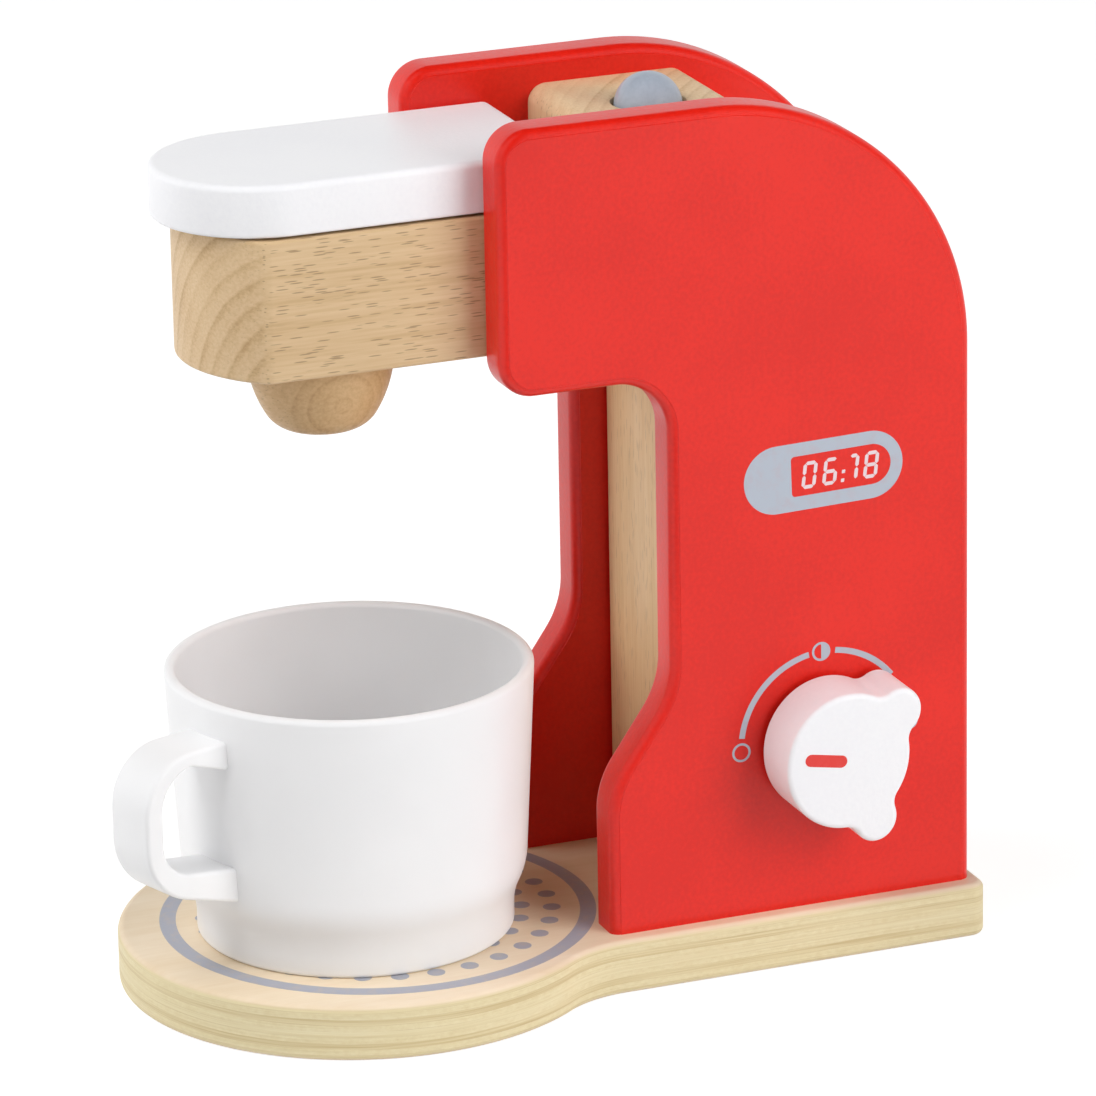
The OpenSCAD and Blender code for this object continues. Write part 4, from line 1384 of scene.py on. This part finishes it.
@dataclass
class Knob(Assembly):
    """The white turning knob with two round lobes and a red pointer."""

    reach: float = 34.6
    height: float = 48.9
    face_x: float = 33.8
    thickness: float = 14.2
    radius: float = 13.9
    lobe_r: float = 4.8
    lobe_reach: float = 14.4
    lobe_angle: float = 50.2
    valley_r: float = 3.3
    stretch: float = 1.07
    turn: float = 13.8
    rim: Rim = Rim(1.1)
    pointer_middle: Pair = (48.0, 49.9)
    pointer_lean: float = -10.0
    pointer_l: float = 9.6
    pointer_w: float = 2.7

    def apart(self) -> float:
        """Angle at the knob's middle between the centres of a lobe and a hollow beside it."""
        far, near = self.radius + self.valley_r, self.lobe_r + self.valley_r
        reach = self.lobe_reach
        return math.degrees(math.acos((reach ** 2 + far ** 2 - near ** 2) / (2 * reach * far)))

    def lobe(self, inset: float, angle: float) -> Array:
        """A lobe and the two hollows that lead into it."""
        far, reach, apart = self.radius + self.valley_r, self.lobe_reach, self.apart()
        aside, along = far * math.sin(math.radians(apart)), far * math.cos(math.radians(apart))
        face = math.degrees(math.atan2(aside, reach - along))
        hollow, lobe = self.valley_r + inset, self.lobe_r - inset
        return pieces_of(
            arc(polar(far, angle - apart), hollow, angle + 180 - apart, angle + face, 16)[:-1],
            arc(polar(reach, angle), lobe, angle + face - 180, angle + 180 - face, 40)[:-1],
            arc(polar(far, angle + apart), hollow, angle - face, angle + apart - 180, 16)[:-1],
        )

    def outline(self, inset: float) -> Array:
        """A disc and two lobes, joined by hollows that touch both, a little stretched across."""
        side, apart = self.lobe_angle, self.apart()
        ring = pieces_of(
            arc((0, 0), self.radius - inset, apart - side, side - apart, 24)[:-1],
            self.lobe(inset, side),
            arc((0, 0), self.radius - inset, side + apart, 360 - side - apart, 96)[:-1],
            self.lobe(inset, -side),
        )
        return ring * (1.0, self.stretch)

    def build(self) -> None:
        """Makes the knob and its pointer."""
        turn = math.radians(-self.turn)
        axes = ((0, math.cos(turn), math.sin(turn)), (0, -math.sin(turn), math.cos(turn)),
                (1, 0, 0))
        body = plate(self.outline, self.thickness, self.rim, self.rim)
        make("knob_white", body.placed((self.face_x, fwd(self.reach), self.height), axes),
             self.finishes.white, Body.KNOB, ["knob"])
        along = polar((self.pointer_l - self.pointer_w) / 2, self.pointer_lean)
        bar = stadium(self.pointer_middle - along, self.pointer_middle + along, self.pointer_w / 2)
        make("knob_pointer",
             slab(bar, 0, INK).placed((self.face_x + self.thickness, 0, 0), STANDING),
             self.finishes.red_ink, Body.KNOB)


@dataclass
class Cup(Assembly):
    """The white cup and its C-shaped handle."""

    reach: float = 128.7
    side: float = 1.8
    height: float = 58.5
    rim_r: float = 38.8
    waist_r: float = 36.7
    foot_r: float = 33.6
    foot_round: float = 0.9
    wall: float = 2.5
    floor: float = 3.5
    shoulder_z: float = 17.4
    foot_h: float = 3.8
    bowl_r: float = 13.0
    recess: float = 1.0
    handle_turn: float = 19.3
    handle_reach: float = 58.9
    handle_w: float = 12.5
    handle_t: float = 4.3
    handle_top: float = 51.2
    handle_foot: float = 15.0
    bends: Pair = (12.0, 14.0)
    hollows: Pair = (9.0, 8.0)
    roots: Pair = (6.6, 7.8)
    rise: float = 3.6
    lean: float = 15.0
    grip: float = 1.5
    edge: Rim = Rim(0.9, steps=6)

    def bowl(self) -> Shape:
        """Profile from the underside's middle up the outside, over the lip and down inside."""
        drop_in, drop = self.waist_r - self.foot_r, self.shoulder_z - self.foot_h
        turn = 2 * math.degrees(math.atan(drop_in / drop))
        bend = (drop_in ** 2 + drop ** 2) / (4 * drop_in)
        lip = self.wall / 2
        inner = self.waist_r - self.wall - self.bowl_r
        profile = pieces_of(
            [(0, self.recess), (self.foot_r - 2 * self.wall, self.recess),
             (self.foot_r - 1.6 * self.wall, 0)],
            arc((self.foot_r - self.foot_round, self.foot_round), self.foot_round, -90, 0, 8),
            arc((self.foot_r + bend, self.foot_h), bend, 180, 180 - turn, 16)[:-1],
            arc((self.waist_r - bend, self.shoulder_z), bend, -turn, 0, 16),
            arc((self.rim_r - lip, self.height - lip), lip, 0, 180, 24),
            arc((inner, self.floor + self.bowl_r), self.bowl_r, 0, -90, 24),
            [(0, self.floor)],
        )
        return turned(profile, 192)

    def wall_r(self, height: float) -> float:
        """Outer radius of the wall at a height above the tray."""
        slope = (self.rim_r - self.waist_r) / (self.height - self.shoulder_z)
        return self.waist_r + slope * (height - self.shoulder_z)

    def strap(self, inset: float) -> Array:
        """Outline of the C-shaped strap in distance from the cup's axis and height."""

        def root(height: float) -> Pair:
            """A point just inside the bowl's wall."""
            return self.wall_r(height) - self.grip, height

        outer, inner = self.handle_reach, self.handle_reach - self.handle_t
        low_z = self.handle_foot + self.bends[1] + self.rise
        high_z = self.handle_top - self.bends[0]
        return pieces_of(
            [root(self.handle_foot + inset)],
            arc((outer - self.bends[1], low_z), self.bends[1] - inset, self.lean - 90, 0, 24),
            arc((outer - self.bends[0], high_z), self.bends[0] - inset, 0, 90, 24),
            [root(self.handle_top - inset), root(self.handle_top - self.roots[0] + inset)],
            arc((inner - self.hollows[0], high_z), self.hollows[0] + inset, 80, 0, 20),
            arc((inner - self.hollows[1], low_z), self.hollows[1] + inset, 0, self.lean - 90, 20),
            [root(self.handle_foot + self.roots[1] - inset)],
        )

    def build(self) -> None:
        """Makes the bowl and the handle."""
        centre = np.array([self.side, fwd(self.reach), BASE_T])
        turn = math.radians(self.handle_turn)
        outward = np.array([math.sin(turn), -math.cos(turn), 0.0])
        across = np.array([-math.cos(turn), -math.sin(turn), 0.0])
        strap = plate(self.strap, self.handle_w, self.edge, self.edge)
        strap = strap.placed(centre - across * self.handle_w / 2, (outward, (0, 0, 1), across))
        make("cup_bowl", self.bowl().placed(centre, FLAT), self.finishes.plastic, Body.CUP,
             ["cup"])
        make("cup_handle", strap, self.finishes.plastic, Body.CUP)


@dataclass
class Studio:
    """A pale floor, soft lamps and the camera.

    floor_pale is the floor's own tone, floor_seen the darker one that the camera sees under
    floor_glow. Each of the cards, the studio's dark parts, has two long edges, given by radius and
    height, the angles between which it reaches, and its level of grey. Each of the lamps has an
    azimuth from the front towards the knob's side, an elevation, and its power in watts.
    """

    camera_at: tuple[float, float, float] = (1331.2, -508.8, 566.6)
    look_at: tuple[float, float, float] = (-7.9, 8.2, 85.3)
    roll: float = -1.07
    lens: float = 234.4
    sensor: float = 36.0
    clip: Pair = (0.05, 20.0)
    fill: float = 0.03
    floor_z: float = -0.05
    floor_half: float = 3000.0
    floor_pale: float = 0.8
    floor_seen: float = 0.4
    floor_glow: float = 0.82
    cards: tuple[tuple[str, Pair, Pair, Pair, float], ...] = (
        ("ceiling_card", (1100, 1000), (20, 1000), (0, 360), 0.0),
        ("wall_card", (1100, 230), (1100, 1000), (60, 165), 0.12),
        ("near_card", (260, 1), (1500, 1), (52, 92), 0.12))
    lamps: tuple[tuple[str, float, float, float], ...] = (
        ("key_lamp", 125, 35, 8.2), ("low_key_lamp", 125, 12, 11.0), ("front_lamp", 10, 35, 4.8),
        ("high_lamp", 10, 60, 11.8), ("left_lamp", -35, 12, 8.0))
    lamp_side: float = 1000.0
    lamp_distance: float = 1500.0
    lamp_target: tuple[float, float, float] = (0, 0, 90)

    @staticmethod
    def shown(tree: bpy.types.NodeTree, seen: bpy.types.Node, other: bpy.types.Node,
              output: str) -> None:
        """Ends a tree with one shader where the camera looks and one for all other light.

        Args:
            tree: the tree.
            seen: the shader that the camera meets, directly, in a gloss or through something clear.
            other: the shader for all other light.
            output: the type of the tree's output node.
        """
        rays = lay(tree, "LightPath", {}).outputs
        share = rays["Is Camera Ray"]
        for name in ("Is Glossy Ray", "Is Transmission Ray"):
            share = lay(tree, "Math", {0: share, 1: rays[name]}, operation="MAXIMUM").outputs[0]
        mix = lay(tree, "MixShader", {0: share, 1: other.outputs[0], 2: seen.outputs[0]})
        lay(tree, output, {"Surface": mix.outputs[0]})

    def world(self) -> None:
        """White to the camera and in gloss, and a plain soft light on everything else."""
        world = bpy.data.worlds.new("studio")
        bpy.context.scene.world = world
        tree = emptied(world)
        seen, light = (lay(tree, "Background", {"Color": (1, 1, 1), "Strength": level})
                       for level in (1.0, self.fill))
        self.shown(tree, seen, light, "OutputWorld")

    def floor(self) -> None:
        """A wide floor that looks white to the camera and keeps the toy's shadow."""
        side = self.floor_half
        outline = np.array([(-side, -side), (side, -side), (side, side), (-side, side)])
        shape = Shape(lifted(outline, self.floor_z), [[0, 1, 2, 3]])
        floor = added("studio_floor", mesh_of("studio_floor", shape))
        material = bpy.data.materials.new("pale_floor")
        tree = emptied(material)
        plain, dark = (lay(tree, "BsdfDiffuse", {"Color": (tone,) * 3})
                       for tone in (self.floor_pale, self.floor_seen))
        glow = lay(tree, "Emission", {"Strength": self.floor_glow})
        both = lay(tree, "AddShader", {0: dark.outputs[0], 1: glow.outputs[0]})
        self.shown(tree, both, plain, "OutputMaterial")
        floor.data.materials.append(material)

    def dark_parts(self) -> None:
        """The ceiling, the wall beside the toy and the table's near end, seen only in gloss."""
        for name, low, high, (start, stop), level in self.cards:
            edges = [lifted(arc((0, 0), radius, start - 90, stop - 90, 24), height)
                     for radius, height in (low, high)]
            faces = quads(2, len(edges[0]), closed=False)
            card = added(name, mesh_of(name, Shape(np.concatenate(edges), faces)))
            recipe = Recipe(name, Base_Color=(0.0, 0.0, 0.0), Roughness=1.0, IOR=1.0,
                            Emission_Color=(1.0, 1.0, 1.0), Emission_Strength=level)
            card.data.materials.append(recipe.material)
            card.visible_camera = card.visible_diffuse = False
            card.visible_shadow = card.visible_transmission = False

    def light(self) -> None:
        """Square soft lamps that look at the middle of the toy."""
        for name, azimuth, elevation, power in self.lamps:
            data = bpy.data.lights.new(name, "AREA")
            data.shape = "SQUARE"
            data.size = self.lamp_side * MM
            data.energy = power
            lamp = added(name, data)
            lamp.visible_glossy = False
            a, e = math.radians(azimuth), math.radians(elevation)
            away = Vector((math.sin(a) * math.cos(e), -math.cos(a) * math.cos(e), math.sin(e)))
            lamp.location = (Vector(self.lamp_target) + away * self.lamp_distance) * MM
            lamp.rotation_mode = "QUATERNION"
            lamp.rotation_quaternion = (-away).to_track_quat("-Z", "Y")

    def camera(self) -> None:
        """The camera, turned about its own axis by the roll."""
        data = bpy.data.cameras.new("camera")
        data.sensor_width = self.sensor
        data.lens = self.lens
        data.clip_start, data.clip_end = self.clip
        camera = added("camera", data)
        eye, target = Vector(self.camera_at) * MM, Vector(self.look_at) * MM
        ahead = (target - eye).normalized()
        right = ahead.cross(Vector((0, 0, 1))).normalized()
        up = right.cross(ahead)
        turn = math.radians(self.roll)
        right, up = (right * math.cos(turn) + up * math.sin(turn),
                     up * math.cos(turn) - right * math.sin(turn))
        rows = Matrix((right, up, -ahead)).transposed().to_4x4()
        camera.matrix_world = Matrix.Translation(eye) @ rows
        bpy.context.scene.camera = camera

    def build(self) -> None:
        """Sets up floor, light and camera."""
        bpy.context.scene.view_settings.view_transform = "Standard"
        self.world()
        self.floor()
        self.dark_parts()
        self.light()
        self.camera()


def main() -> None:
    """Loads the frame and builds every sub-assembly."""
    logging.basicConfig(level=logging.INFO, format="%(message)s")
    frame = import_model()
    finishes = Finishes()
    Studio().build()
    for assembly in (BaseBoard, SidePanels, PanelPrint, BrewHead, Lid, ButtonUnit, BackPost, Knob,
                     Cup):
        assembly(finishes).build()
    wooden = ("head_dowels", "block_dowels", "post_dowels", "button_stem", "knob_axle",
              "axle_keeper")
    metal = ("lid_hinge_pin", "panel_screws", "post_screws", "button_spring", "button_collar",
             "collar_screw")
    dress(frame, wooden, finishes.dowel)
    dress(frame, metal, finishes.steel)


if __name__ == "__main__":
    main()
